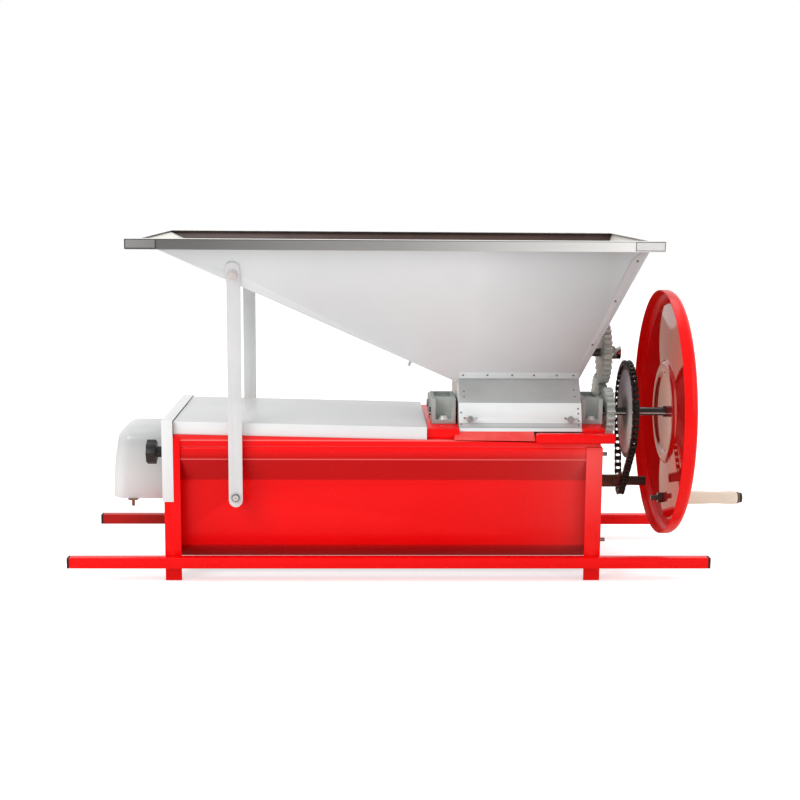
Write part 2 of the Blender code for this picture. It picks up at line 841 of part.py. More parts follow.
def hood_knob(name, side):
    """Lobed hand knob with its screw, holding the hood to the end plate."""
    axis = empty(name + "_axis", (0.0, side * knob_half_spacing, knob_height), machine)
    bm = bmesh.new()
    seat = hood_inner_x() - fit_gap
    shoulder = seat - knob_neck
    points = []
    steps = knob_lobes * knob_lobe_facets
    ripple = knob_radius * knob_ripple_share
    for i in range(steps):
        angle = math.tau * i / steps
        radius = knob_radius - ripple + ripple * math.cos(knob_lobes * angle)
        points.append((radius * math.cos(angle), radius * math.sin(angle)))
    plate(bm, [points], shoulder - knob_head, shoulder)
    head = node(name, bm, black_plastic, axis, smooth=True)
    shank = bmesh.new()
    turned(shank, [(0.0, shoulder - knob_head / 2), (knob_neck_radius, shoulder - knob_head / 2),
                   (knob_neck_radius, seat), (knob_screw_radius, seat),
                   (knob_screw_radius, seat + knob_screw), (0.0, seat + knob_screw)], small_sides)
    weld(head, shank)


def hood_stud():
    """Short stud with its washer under the hood's front edge."""
    bm = bmesh.new()
    left = hood_inner_x() - fit_gap - hood_length
    centre = (left + hood_stud_inset, -(hood_half_width - hood_sheet / 2))
    top = hood_bottom - fit_gap
    turned(bm, [(0.0, top), (hood_washer_radius, top), (hood_washer_radius, top - hood_washer),
                (hood_stud_radius, top - hood_washer), (hood_stud_radius, top - hood_stud_length),
                (0.0, top - hood_stud_length)], small_sides, centre=centre, axis="z")
    node("hood_stud", bm, bronze)


# Hopper
def wall_plane(side):
    """Outer plane of one hopper wall as its unit normal and its distance."""
    rise = hopper_head - hopper_foot
    if side in ("front", "back"):
        sign = -1.0 if side == "front" else 1.0
        normal = Vector((0.0, sign * rise, -(hopper_top_half - hopper_foot_half))).normalized()
        point = Vector((0.0, sign * hopper_foot_half, hopper_foot))
    elif side == "left":
        normal = Vector((left_foot_height - hopper_head, 0.0, hopper_top_left - crusher_left)).normalized()
        point = Vector((crusher_left, 0.0, left_foot_height))
    else:
        normal = Vector((rise, 0.0, -(hopper_top_right - crusher_right))).normalized()
        point = Vector((crusher_right, 0.0, hopper_foot))
    return normal, normal.dot(point)


def meet(*planes):
    """The point where three planes meet."""
    solved = np.linalg.solve(np.array([list(n) for n, _ in planes]), np.array([d for _, d in planes]))
    return Vector(solved)


def inward(plane, depth):
    """A plane moved into the hopper."""
    return plane[0], plane[1] - depth


def wall_x(side, z):
    """Where the outer face of a left or right wall stands at a height."""
    normal, distance = wall_plane(side)
    return (distance - normal.z * z) / normal.x


def wall_y(z, side=-1):
    """Where the outer face of the front or back wall stands at a height."""
    normal, distance = wall_plane("front" if side < 0 else "back")
    return (distance - normal.z * z) / normal.y


def hopper_wall(name, side):
    """One sloping sheet of the hopper."""
    bm = bmesh.new()
    face = wall_plane(side)
    deep = inward(face, hopper_sheet)
    if side in ("front", "back"):
        ends = [wall_plane("left"), wall_plane("right")]
    else:
        ends = [inward(wall_plane(s), hopper_sheet + fit_gap) for s in ("front", "back")]
    floor = (Vector((0.0, 0.0, 1.0)), hopper_foot)
    if side == "left":
        floor = (Vector((1.0, 0.0, 0.0)), crusher_left - fit_gap)
    ceiling = (Vector((0.0, 0.0, 1.0)), hopper_head)
    corners = [[bm.verts.new(meet(depth, ends[a], level)) for a, level in
                ((0, floor), (1, floor), (1, ceiling), (0, ceiling))] for depth in (face, deep)]
    bm.faces.new(corners[0])
    bm.faces.new(corners[1])
    bridge(bm, *corners)
    return node(name, bm, hopper_grey)


def hopper():
    """The four walls, with the auger's foot on the left one and its sleeve in the right one."""
    for side, sign in (("front", -1), ("back", 1)):
        wall = hopper_wall("hopper_" + side, side)
        cutter = bmesh.new()
        normal, _ = wall_plane(side)
        bolt_hole(cutter, (strap_x, wall_y(strap_top_bolt, sign), strap_top_bolt), -normal, hopper_sheet)
        cut(wall, cutter)
    bore = circle(clear_radius(auger_shaft_radius, running_gap), round_sides, (auger_y, auger_height))
    left = hopper_wall("hopper_left", "left")
    weld(left, auger_foot())
    foot_end = auger_left_end + foot_length
    cut(left, plate(bmesh.new(), [bore], auger_left_end - fit_gap, foot_end + cut_overrun))
    right = hopper_wall("hopper_right", "right")
    reach = auger_shaft_radius + bush_wall
    middle = wall_x("right", auger_height)
    lean = reach * (hopper_top_right - crusher_right) / (hopper_head - hopper_foot)
    half = lean + bush_flange
    sleeve = circle(reach, round_sides, (auger_y, auger_height))
    weld(right, plate(bmesh.new(), [sleeve], middle - half, middle + half))
    cut(right, plate(bmesh.new(), [bore], middle - half - cut_overrun, middle + half + cut_overrun))


def auger_foot():
    """Bearing of the auger's left end: a block on the left wall with a lug and its bolt."""
    reach = auger_shaft_radius + bush_wall
    x0, x1 = auger_left_end - bush_wall, auger_left_end + foot_length
    top = auger_height + reach
    normal, distance = wall_plane("left")

    def wall_z(x):
        return (distance - hopper_sheet / 2 - normal.x * x) / normal.z

    outline = [(foot_lug_start, wall_z(foot_lug_start)), (x1, wall_z(x1)), (x1, top), (x0, top),
               (x0, wall_z(x0) + foot_lug), (foot_lug_start, wall_z(foot_lug_start) + foot_lug)]
    bm = plate(bmesh.new(), [outline], auger_y - reach, auger_y + reach, "y")
    start = len(bm.verts)
    turned(bm, [(0.0, 0.0), (foot_nut_radius, 0.0), (foot_nut_radius, hopper_sheet + foot_nut),
                (foot_stud_radius, hopper_sheet + foot_nut), (foot_stud_radius, foot_stud), (0.0, foot_stud)],
           small_sides, axis="z")
    aim(bm, start, (foot_bolt_x, auger_y, wall_z(foot_bolt_x)), normal)
    return bm


def hopper_rim():
    """Rim with a top flange and a skirt, its corners clasped by short angle pieces."""
    bm = bmesh.new()
    low, under = rim_top - rim_height, rim_top - rim_sheet
    profile = [(rim_lip, rim_top), (corner_cap_sheet, rim_top), (corner_cap_sheet, low),
               (corner_cap_sheet + rim_sheet, low), (corner_cap_sheet + rim_sheet, under), (rim_lip, under)]
    rings = []
    middle, half = (rim_left + rim_right) / 2, (rim_right - rim_left) / 2
    for inset, z in profile:
        rings.append([bm.verts.new((x, y, z))
                      for x, y in square(half - inset, rim_half - inset, (middle, 0.0))])
    chain_rings(bm, rings, closed=True)
    made = node("hopper_rim", bm, satin_steel)
    caps = bmesh.new()
    thick, reach = corner_cap_sheet + rim_sheet / 2, corner_cap_reach
    top, low = rim_top - rim_sheet / 4, rim_top - rim_height + rim_sheet / 4
    for x, sx in ((rim_left, 1), (rim_right, -1)):
        for sy in (-1, 1):
            y = sy * rim_half
            far_x, far_y, in_x, in_y = x + sx * reach, y - sy * reach, x + sx * thick, y - sy * thick
            loop = [(x, y), (far_x, y), (far_x, in_y), (in_x, in_y), (in_x, far_y), (x, far_y)]
            plate(caps, [loop], low, top, "z")
    weld(made, caps)


# Straps
def strap_bend():
    """Height where the strap leaves the upright and follows the hopper wall."""
    stand = strap_plane + strap_thickness
    share = (stand - hopper_foot_half) / (hopper_top_half - hopper_foot_half)
    return hopper_foot + (hopper_head - hopper_foot) * share - strap_thickness


def strap(name, side):
    """Flat bar with round ends, upright below and bent along the hopper wall above."""
    bm = bmesh.new()
    bend = strap_bend()
    normal, _ = wall_plane("front" if side < 0 else "back")
    upright = Vector((0.0, side, 0.0))
    half = strap_width / 2
    slope = Vector((0.0, side * (hopper_top_half - hopper_foot_half), hopper_head - hopper_foot)).normalized()
    start = Vector((0.0, wall_y(bend, side), bend)) + normal * fit_gap
    turn_z = start.z - (start.y - side * strap_plane) * slope.z / slope.y
    turn_point = Vector((strap_x, side * strap_plane, turn_z))
    top_run = (strap_top_end - turn_z) / slope.z
    low_middle = Vector((strap_x, side * strap_plane, strap_low_end + half))
    high_middle = turn_point + slope * (top_run - half)
    arc = 6
    angles = [math.pi * i / arc for i in range(arc + 1)]
    lower = [low_middle + Vector((half * math.cos(a), 0.0, -half * math.sin(a))) for a in angles]
    upper = [high_middle + Vector((-half * math.cos(a), 0.0, 0.0)) + slope * half * math.sin(a)
             for a in angles]
    bends = [turn_point + Vector((across, 0.0, 0.0)) for across in (-half, half)]
    lean = (upright + normal).normalized()
    mitre = lean / lean.dot(upright)
    skins = []
    for depth in (0.0, strap_thickness):
        low = [bm.verts.new(p + upright * depth) for p in lower]
        high = [bm.verts.new(p + normal * depth) for p in upper]
        fold = [bm.verts.new(p + mitre * depth) for p in bends]
        bm.faces.new(low + fold)
        bm.faces.new(high + fold[::-1])
        skins.append(low + fold[:1] + high + fold[1:])
    bridge(bm, *skins)
    made = node(name, bm, white_paint)
    cutter = bmesh.new()
    bolt_hole(cutter, (strap_x, side * strap_plane, strap_low_bolt), upright, strap_thickness)
    place = Vector((strap_x, wall_y(strap_top_bolt, side), strap_top_bolt))
    bolt_hole(cutter, place, normal, 2 * strap_thickness)
    cut(made, cutter)


def strap_fasteners(tag, side):
    """Stand-off bolt at a strap's lower end, through bolt at its upper end."""
    bm = bmesh.new()
    outer = strap_plane + strap_thickness + fit_gap
    strap_back = strap_thickness + 2 * fit_gap
    panel_face = outer - panel_half_depth - fit_gap
    panel_back = outer - panel_half_depth + body_sheet + fit_gap
    spacer = [(bolt_shank_radius, 0.0), (bolt_shank_radius, strap_back), (spacer_radius, strap_back),
              (spacer_radius, panel_face), (bolt_shank_radius, panel_face), (bolt_shank_radius, panel_back),
              (bolt_head_radius, panel_back), (bolt_head_radius, panel_back + bolt_head),
              (0.0, panel_back + bolt_head)]
    turned(bm, nut_profile(0.0, -1)[::-1] + spacer, small_sides, axis="z")
    aim(bm, 0, (strap_x, side * outer, strap_low_bolt), (0, -side, 0))
    node("strap_standoff_" + tag, bm, bright_steel)
    normal, _ = wall_plane("front" if side < 0 else "back")
    seat = Vector((strap_x, wall_y(strap_top_bolt, side), strap_top_bolt))
    seat += normal * (strap_thickness + 2 * fit_gap)
    top = bmesh.new()
    bolt(top, seat, -normal, strap_thickness + hopper_sheet + fit_gap)
    node("strap_bolt_" + tag, top, bright_steel)


# Crusher box
def crusher_path():
    """Front cover's outer line from its top edge down to the lip, as (depth, height)."""
    return [(hopper_foot_half, crusher_top), (crusher_crease_half, crusher_crease),
            (crusher_low_half, crusher_low), (crusher_lip_half, crusher_lip)]


def crusher_cover(name, side):
    """Bent cover sheet over one side of the rollers."""
    outline = [(side * y, z) for y, z in strip_outline(crusher_path(), -cover_sheet)]
    bm = plate(bmesh.new(), [outline], crusher_left + fit_gap, crusher_right - fit_gap)
    made = node(name, bm, hopper_grey)
    cutter = bmesh.new()
    for x in (wing_nut_x_left, wing_nut_x_right):
        place, normal = wing_seat(side)
        bolt_hole(cutter, Vector((x, *place)) + normal * -cover_sheet, normal, cover_sheet)
    cut(made, cutter)


def wing_seat(side):
    """Where a wing nut seats on the lower cover panel, as (y, z) and the outward normal."""
    height = crusher_low + wing_nut_rise
    share = (crusher_crease - height) / (crusher_crease - crusher_low)
    y = crusher_crease_half + (crusher_low_half - crusher_crease_half) * share
    run = Vector((0.0, crusher_low_half - crusher_crease_half, crusher_low - crusher_crease)).normalized()
    return (side * y, height), Vector((0.0, side * -run.z, run.y))


def crusher_end(name, x0, x1):
    """End sheet of the crusher box with its two shaft holes."""
    right = beside(crusher_path(), -cover_sheet - fit_gap)[:3]
    right[0] = at_height(right[0], right[1], crusher_top)
    right += [(crusher_crease_half, right[2][1]), (crusher_crease_half, deck_z(x0) + deck_rise + 2 * fit_gap)]
    outline = right + [(-y, z) for y, z in right[::-1]]
    holes = [circle(clear_radius(shaft_radius, 2 * running_gap), round_sides, (y, roller_height))
             for y in (front_roller_y, rear_roller_y)]
    node(name, plate(bmesh.new(), [outline] + holes, x0, x1), hopper_grey)


def wing_nut(name, x, side):
    """Wing nut on its stud, pressing a crusher cover."""
    place, normal = wing_seat(side)
    seat = Vector((x, *place)) + normal * fit_gap
    bm = bmesh.new()
    tail = -cover_sheet - 2 * wing_hub
    turned(bm, [(0.0, tail), (bolt_shank_radius, tail), (bolt_shank_radius, 0.0), (wing_hub_radius, 0.0),
                (wing_hub_radius, wing_hub), (bolt_shank_radius, wing_hub), (bolt_shank_radius, 2 * wing_hub),
                (0.0, 2 * wing_hub)], small_sides, axis="z")
    aim(bm, 0, seat, normal)
    made = node(name, bm, bright_steel)
    wings = bmesh.new()
    near, far = bolt_shank_radius / 2, wing_span / 2
    for way in (-1, 1):
        wing = [(way * near, wing_hub / 4), (way * far, wing_rise / 2), (way * far, wing_rise),
                (way * near, wing_hub * 3 / 4)]
        plate(wings, [wing], -wing_thickness / 2, wing_thickness / 2, "y")
    aim(wings, 0, seat, normal)
    weld(made, wings)


# Bearings
def bearing_block(name, x0, length):
    """Casting with two shaft bores and, at each end, an open pocket with its hold down bolt."""
    middle = (front_roller_y + rear_roller_y) / 2
    x1 = x0 + length
    low, floor, top = rail_top + fit_gap, rail_top + block_floor, rail_top + block_height
    front, back, rear_top = middle - block_half_width, middle + block_half_width, rail_top + block_rear_height
    step = front + block_front_depth
    outline = [(front, low), (back, low), (back, rear_top), (step, rear_top), (step, top), (front, top)]
    made = node(name, plate(bmesh.new(), [outline], x0, x1), cast_grey)
    cutter, heads = bmesh.new(), bmesh.new()
    root = floor - block_floor / 2
    for side in (-1, 1):
        reach = pocket_depth + cut_overrun
        centre_y = middle + side * (block_half_width + cut_overrun - reach / 2)
        box(cutter, x0 + block_wall, x1 - block_wall, centre_y - reach / 2, centre_y + reach / 2,
            floor, top + cut_overrun)
        bolt_y = middle + side * (block_half_width - pocket_depth / 2)
        turned(heads, [(0.0, root), (washer_radius, root)] + nut_profile(floor)[1:], small_sides,
               centre=(x0 + length / 2, bolt_y), axis="z")
    box(cutter, x0 + block_wall, x1 - block_wall, front + pocket_depth + block_wall, step - block_wall,
        top - block_recess, top + cut_overrun)
    for y in (front_roller_y, rear_roller_y):
        bore = circle(clear_radius(shaft_radius, running_gap), round_sides, (y, roller_height))
        plate(cutter, [bore], x0 - cut_overrun, x1 + cut_overrun)
    cut(made, cutter)
    weld(made, heads)


# Gears
def involute(angle):
    """Involute function of a pressure angle."""
    return math.tan(angle) - angle


def gear_outline(teeth, turn):
    """Involute spur gear outline with a tooth centred on the given direction."""
    pitch_radius = gear_module * teeth / 2
    pressure = math.radians(gear_pressure_deg)
    base = pitch_radius * math.cos(pressure)
    tip = pitch_radius + gear_module
    root = pitch_radius - gear_root_share * gear_module
    half_pitch = math.pi / (2 * teeth) - gear_backlash / (2 * pitch_radius)
    low = max(base, root)
    flank = []
    for i in range(gear_flank_steps + 1):
        radius = low + (tip - low) * i / gear_flank_steps
        half = half_pitch + involute(pressure) - involute(math.acos(min(1.0, base / radius)))
        flank.append((radius, half))
    if root < base:
        flank.insert(0, (root, flank[0][1]))
    points = []
    for k in range(teeth):
        centre = turn + math.tau * k / teeth
        for radius, angle in [(r, -half) for r, half in flank] + flank[::-1]:
            points.append((radius * math.cos(centre + angle), radius * math.sin(centre + angle)))
    return points


def mesh_turn(own_teeth, other_teeth, other_turn, direction):
    """Turn of a gear so that it meshes with the other, which lies back along the direction."""
    own, other = gear_module * own_teeth / 2, gear_module * other_teeth / 2
    return direction + math.pi + (math.pi * gear_module / 2 - other * (other_turn - direction)) / own


def gear(name, teeth, turn, bore_radius, parent):
    """Spur gear with its bore."""
    bore = circle(clear_radius(bore_radius, fit_gap))
    node(name, plate(bmesh.new(), [gear_outline(teeth, turn), bore], gear_start, gear_start + gear_width),
         gear_grey, parent)


def gears():
    """Front roller gear drives the rear roller gear, which drives the auger gear."""
    front_turn = 0.0
    rear_turn = mesh_turn(rear_gear_teeth, front_gear_teeth, front_turn, 0.0)
    direction = math.atan2(auger_height - roller_height, auger_y - rear_roller_y)
    auger_turn = mesh_turn(auger_gear_teeth, rear_gear_teeth, rear_turn, direction)
    gear("front_gear", front_gear_teeth, front_turn, shaft_radius, crank_axis)
    gear("rear_gear", rear_gear_teeth, rear_turn, shaft_radius, rear_axis)
    gear("auger_gear", auger_gear_teeth, auger_turn, auger_shaft_radius, auger_axis)


# Rollers and shafts
def roller(name, shaft_profile, parent):
    """Fluted crushing roller on its shaft."""
    points = []
    floor = roller_radius - flute_depth
    for i in range(roller_flutes):
        for share, radius in ((0.0, roller_radius), (flute_top_share, roller_radius),
                              (flute_top_share + flute_side_share, floor), (1 - flute_side_share, floor)):
            angle = math.tau * (i + share) / roller_flutes
            points.append((radius * math.cos(angle), radius * math.sin(angle)))
    start = crusher_left + cover_sheet + roller_end_gap
    end = crusher_right - cover_sheet - roller_end_gap
    made = node(name, turned(bmesh.new(), shaft_profile), gear_grey, parent, smooth=True)
    weld(made, plate(bmesh.new(), [points], start, end))


def rollers():
    """Front roller, whose shaft runs on to the flywheel, and rear roller, whose shaft ends at its gear."""
    seat = wheel_back - fit_gap
    tip = wheel_back + wheel_sheet + wheel_nut + spindle_tip
    front = [(0.0, shaft_left_end), (shaft_radius, shaft_left_end), (shaft_radius, seat - wheel_collar),
             (wheel_collar_radius, seat - wheel_collar), (wheel_collar_radius, seat), (shaft_radius, seat),
             (shaft_radius, tip), (0.0, tip)]
    roller("front_roller", front, crank_axis)
    end = gear_start + gear_width + gear_hub
    rear = [(0.0, shaft_left_end), (shaft_radius, shaft_left_end), (shaft_radius, end), (0.0, end)]
    roller("rear_roller", rear, rear_axis)


def auger():
    """Auger: shaft with its nut outside the gear, and the helical blade round it."""
    bm = bmesh.new()
    gear_end = gear_start + gear_width + fit_gap
    turned(bm, [(0.0, auger_left_end), (auger_shaft_radius, auger_left_end), (auger_shaft_radius, gear_end),
                (auger_nut_radius, gear_end), (auger_nut_radius, gear_end + auger_nut),
                (0.0, gear_end + auger_nut)], round_sides)
    made = node("auger", bm, dark_steel, auger_axis, smooth=True)
    blade = bmesh.new()
    inner = auger_shaft_radius * blade_root_share
    steps = round(auger_turns * auger_facets)
    rows = []
    for i in range(steps + 1):
        angle = math.tau * auger_turns * i / steps
        x = auger_blade_start + (auger_blade_end - auger_blade_start) * i / steps
        rows.append([blade.verts.new((x + along, radius * math.cos(angle), radius * math.sin(angle)))
                     for radius, along in ((inner, 0.0), (auger_radius, 0.0), (auger_radius, auger_blade),
                                           (inner, auger_blade))])
    blade.faces.new(rows[0])
    blade.faces.new(rows[-1])
    chain_rings(blade, rows)
    weld(made, blade)


# Destemming shaft, paddles, screen
def destemmer():
    """Destemming shaft with its paddles set round it in a helix."""
    left = plate_left_x + 2 * fit_gap + end_plate_sheet
    bm = plate(bmesh.new(), [circle(destemmer_radius)], left, destemmer_right_end)
    made = node("destemmer_shaft", bm, dark_steel, destemmer_axis, smooth=True)
    paddles = bmesh.new()
    near, reach = destemmer_radius / 2, screen_radius - paddle_gap
    half, head_half = paddle_stem / 2, paddle_head / 2
    neck, shoulder = reach - paddle_head_depth, reach - paddle_head_depth / 2
    outline = [(-half, near), (half, near), (half, neck), (head_half, shoulder), (head_half, reach),
               (-head_half, reach), (-head_half, shoulder), (-half, neck)]
    for i in range(paddle_count):
        x = paddle_start + (paddle_end - paddle_start) * i / (paddle_count - 1)
        start = len(paddles.verts)
        plate(paddles, [outline], -paddle_thickness / 2, paddle_thickness / 2, "y")
        paddles.verts.ensure_lookup_table()
        place = Matrix.Translation((x, 0.0, 0.0)) @ Matrix.Rotation(math.radians(paddle_step_deg) * i, 4, "X")
        bmesh.ops.transform(paddles, matrix=place, verts=paddles.verts[start:])
    weld(made, paddles)


def screen():
    """Half round screen under the paddles: rows of openings and a flange along each side."""
    bm = bmesh.new()
    clear = 2 * fit_gap + end_plate_sheet + bush_flange
    start, end = plate_left_x + clear, plate_right_x - clear
    along, around = screen_cells_along, screen_cells_round
    margin = (1 - screen_hole_share) / 2
    half = panel_half_depth - body_sheet - fit_gap
    high = destemmer_height - screen_radius * math.sin(math.pi * screen_open_share)
    low = high - screen_sheet

    def point(u, v, radius):
        angle = math.pi * (1 + screen_open_share + (1 - 2 * screen_open_share) * v / around)
        x = start + (end - start) * u / along
        z = destemmer_height + radius * math.sin(angle)
        return (x, radius * math.cos(angle), min(z, low) if radius > screen_radius else z)

    skins = []
    for radius in (screen_radius, screen_radius + screen_sheet):
        grid = [[bm.verts.new(point(u, v, radius)) for v in range(around + 1)] for u in range(along + 1)]
        holes = []
        spots = ((margin, margin), (1 - margin, margin), (1 - margin, 1 - margin), (margin, 1 - margin))
        for u in range(along):
            for v in range(around):
                hole = [bm.verts.new(point(u + a, v + b, radius)) for a, b in spots]
                bridge(bm, [grid[u][v], grid[u + 1][v], grid[u + 1][v + 1], grid[u][v + 1]], hole)
                holes.append(hole)
        skins.append((grid, holes))
    (inner, inner_holes), (outer, outer_holes) = skins
    for hole, other in zip(inner_holes, outer_holes):
        bridge(bm, hole, other)
    for u in (0, along):
        bridge(bm, inner[u], outer[u], closed=False)
    for v, side in ((0, -1), (around, 1)):
        sections = []
        for u in range(along + 1):
            x = inner[u][v].co.x
            sections.append([inner[u][v], bm.verts.new((x, side * half, high)),
                             bm.verts.new((x, side * half, low)), outer[u][v]])
        bm.faces.new(sections[0])
        bm.faces.new(sections[-1])
        for one, two in zip(sections, sections[1:]):
            bridge(bm, one, two, closed=False)
    node("destemmer_screen", bm, satin_steel)


# Chain and sprockets
def pitch_radius_of(teeth):
    """Pitch circle radius of a chain sprocket."""
    return chain_pitch / (2 * math.sin(math.pi / teeth))


def sprocket_outline(teeth, turn):
    """Toothed edge that stays just inside the chain's rollers."""
    tip = pitch_radius_of(teeth) - chain_roller_radius - fit_gap
    root = tip - tooth_cut
    points = []
    for k in range(teeth):
        for share, radius in ((-tooth_root_share, root), (-tooth_tip_share, tip),
                              (tooth_tip_share, tip), (tooth_root_share, root)):
            angle = turn + math.tau * (k + share) / teeth
            points.append((radius * math.cos(angle), radius * math.sin(angle)))
    return points


def sprocket(name, teeth, hub_radius, hub_end, bore_radius, parent):
    """Toothed plate with its hub on one side, as far as hub_end, and a bore for its shaft."""
    half = sprocket_thickness / 2
    bm = plate(bmesh.new(), [sprocket_outline(teeth, 0.0)], chain_x - half, chain_x + half)
    made = node(name, bm, dark_steel, parent)
    weld(made, plate(bmesh.new(), [circle(hub_radius)], chain_x, hub_end))
    bore = circle(clear_radius(bore_radius, fit_gap))
    low, high = min(chain_x - half, hub_end), max(chain_x + half, hub_end)
    cut(made, plate(bmesh.new(), [bore], low - cut_overrun, high + cut_overrun))


def sprockets():
    """Large sprocket on the crank shaft, small one on the destemming shaft."""
    sprocket("big_sprocket", big_sprocket_teeth, big_hub_radius, chain_x + big_hub, shaft_radius, crank_axis)
    sprocket("small_sprocket", small_sprocket_teeth, small_hub_radius, plate_right_x + bush_flange,
             destemmer_radius, destemmer_axis)


def chain_path():
    """Pin places round both sprockets, evenly spaced, as (y, z)."""
    big, small = pitch_radius_of(big_sprocket_teeth), pitch_radius_of(small_sprocket_teeth)
    dy, dz = -front_roller_y, destemmer_height - roller_height
    spacing = math.hypot(dy, dz)
    toward = math.atan2(dz, dy)
    lean = math.acos((big - small) / spacing)
    run = math.sqrt(spacing ** 2 - (big - small) ** 2)
    big_arc = big * (math.tau - 2 * lean)
    small_arc = small * 2 * lean
    total = big_arc + small_arc + 2 * run
    centre_big = Vector((front_roller_y, roller_height))
    centre_small = Vector((0.0, destemmer_height))
    pins = []
    for k in range(chain_links):
        along = total * k / chain_links
        if along < big_arc:
            angle = toward + lean + along / big
            pins.append(centre_big + Vector((math.cos(angle), math.sin(angle))) * big)
            continue
        along -= big_arc
        leave = toward - lean
        tangent = Vector((-math.sin(leave), math.cos(leave)))
        if along < run:
            pins.append(centre_big + Vector((math.cos(leave), math.sin(leave))) * big + tangent * along)
            continue
        along -= run
        if along < small_arc:
            angle = leave + along / small
            pins.append(centre_small + Vector((math.cos(angle), math.sin(angle))) * small)
            continue
        along -= small_arc
        leave = toward + lean
        tangent = Vector((-math.sin(leave), math.cos(leave)))
        pins.append(centre_small + Vector((math.cos(leave), math.sin(leave))) * small + tangent * along)
    return pins


def drive_chain():
    """Roller chain: two rows of side plates, stepped in and out link by link, joined by rollers."""
    pins = chain_path()
    half = chain_inner_width / 2
    inner, outer = (half, half + chain_plate), (half + chain_plate, half + 2 * chain_plate)
    bm = bmesh.new()
    for way in (-1, 1):
        rings = []
        for k, pin in enumerate(pins):
            following, before = pins[(k + 1) % len(pins)], pins[k - 1]
            across = Vector((before.y - following.y, following.x - before.x)).normalized()
            waist = Vector((pin.y - following.y, following.x - pin.x)).normalized()
            middle = (pin + following) / 2
            span = inner if k % 2 else outer
            for place, out, height, (near, far) in (
                    (pin, across, chain_plate_height / 2, (inner[0], outer[1])),
                    (middle, waist, chain_plate_height * waist_share / 2, span)):
                low, high = place - out * height, place + out * height
                rings.append([bm.verts.new((chain_x + way * x, p.x, p.y))
                              for x, p in ((near, low), (far, low), (far, high), (near, high))])
        chain_rings(bm, rings, closed=True)
    made = node("drive_chain", bm, dark_steel)
    between = bmesh.new()
    reach = half + chain_plate / 2
    for pin in pins:
        ring = circle(chain_roller_radius, link_sides, tuple(pin))
        plate(between, [ring], chain_x - reach, chain_x + reach)
    weld(made, between)


# Flywheel and crank
def flywheel():
    """Pressed dish, open towards the machine: rounded rim, web set in, one embossed ring."""
    web, radius, corner = wheel_back + wheel_sheet, wheel_radius, wheel_corner
    ring, wide, deep = wheel_emboss_radius, wheel_emboss_width, wheel_emboss_depth
    back = web + wheel_web_step
    path = [(clear_radius(shaft_radius, fit_gap, wheel_sides), web), (ring - wide, web),
            (ring - wide / 2, web - deep), (ring + wide / 2, web - deep), (ring + wide, web),
            (wheel_web_radius, web), (wheel_web_radius + wheel_step_run, back)]
    arc = 3
    for i in range(arc + 1):
        angle = math.pi / 2 * i / arc
        path.append((radius - corner + corner * math.sin(angle), back - corner + corner * math.cos(angle)))
    path.append((radius, back - wheel_depth))
    bm = turned(bmesh.new(), strip_outline(path, -wheel_sheet), wheel_sides, closed=True)
    made = node("flywheel", bm, red_paint, crank_axis, smooth=True)
    hole = circle(clear_radius(spindle_radius, fit_gap, small_sides), small_sides, (0.0, -crank_throw))
    cut(made, plate(bmesh.new(), [hole], web - 2 * wheel_sheet, web + wheel_sheet))


def wheel_nut_piece():
    """Nut that clamps the flywheel against the shaft's collar."""
    bore = clear_radius(shaft_radius, fit_gap)
    face = wheel_back + wheel_sheet + fit_gap
    bm = turned(bmesh.new(), [(bore, face), (wheel_nut_radius, face), (wheel_nut_radius, face + wheel_nut),
                              (bore, face + wheel_nut)], closed=True)
    node("wheel_nut", bm, dark_steel, crank_axis)


def crank_spindle():
    """Bolt through the flywheel that carries the grip: nut and thread inside, collar and head outside."""
    inner = wheel_back - fit_gap
    nut, end = inner - spindle_nut, inner - spindle_inner
    collar = grip_start + grip_collar
    profile = [(0.0, end), (spindle_radius, end), (spindle_radius, nut), (spindle_head_radius, nut),
               (spindle_head_radius, inner), (spindle_radius, inner), (spindle_radius, grip_start),
               (spindle_head_radius, grip_start), (spindle_head_radius, collar), (spindle_radius, collar),
               (spindle_radius, grip_end + fit_gap), (spindle_head_radius, grip_end + fit_gap),
               (spindle_head_radius, grip_tip), (0.0, grip_tip)]
    node("crank_spindle", turned(bmesh.new(), profile, small_sides), dark_steel, grip_axis)


def grip():
    """Turned wooden grip with a slight waist."""
    start = grip_start + grip_collar + fit_gap
    bore = clear_radius(spindle_radius, grip_bore_gap, round_sides)
    path = [(grip_radius * wide, start + grip_length * run)
            for run, wide in zip(grip_run_shares, grip_wide_shares)]
    bm = turned(bmesh.new(), path + [(bore, grip_end), (bore, start)], round_sides, closed=True)
    node("crank_grip", bm, pale_wood, grip_axis, smooth=True)


# The machine put together
carry_bar("carry_bar_front", -1)
carry_bar("carry_bar_back", 1)
for depth_name, depth_sign in (("front", -1), ("back", 1)):
    for end_name, end_sign in (("left", -1), ("right", 1)):
        leg(f"leg_{depth_name}_{end_name}", end_sign, depth_sign)
        bar_plug(f"bar_plug_{depth_name}_{end_name}", end_sign, depth_sign)
    side_panel("side_panel_" + depth_name, depth_sign)
    hood_knob("hood_knob_" + depth_name, depth_sign)
    strap("strap_" + depth_name, depth_sign)
    strap_fasteners(depth_name, depth_sign)
    crusher_cover("crusher_cover_" + depth_name, depth_sign)
    for end_name, wing_x in (("left", wing_nut_x_left), ("right", wing_nut_x_right)):
        wing_nut(f"wing_nut_{depth_name}_{end_name}", wing_x, depth_sign)
end_plates()
deck_plate()
cross_rail("cross_rail_left", rail_left_start, crusher_left - fit_gap)
cross_rail("cross_rail_right", crusher_right + fit_gap, rail_right_end)
ledge_bar()
lid()
stem_hood()
hood_flange()
hood_stud()
hopper()
hopper_rim()
crusher_end("crusher_end_left", crusher_left + fit_gap, crusher_left + fit_gap + cover_sheet)
crusher_end("crusher_end_right", crusher_right - fit_gap - cover_sheet, crusher_right - fit_gap)
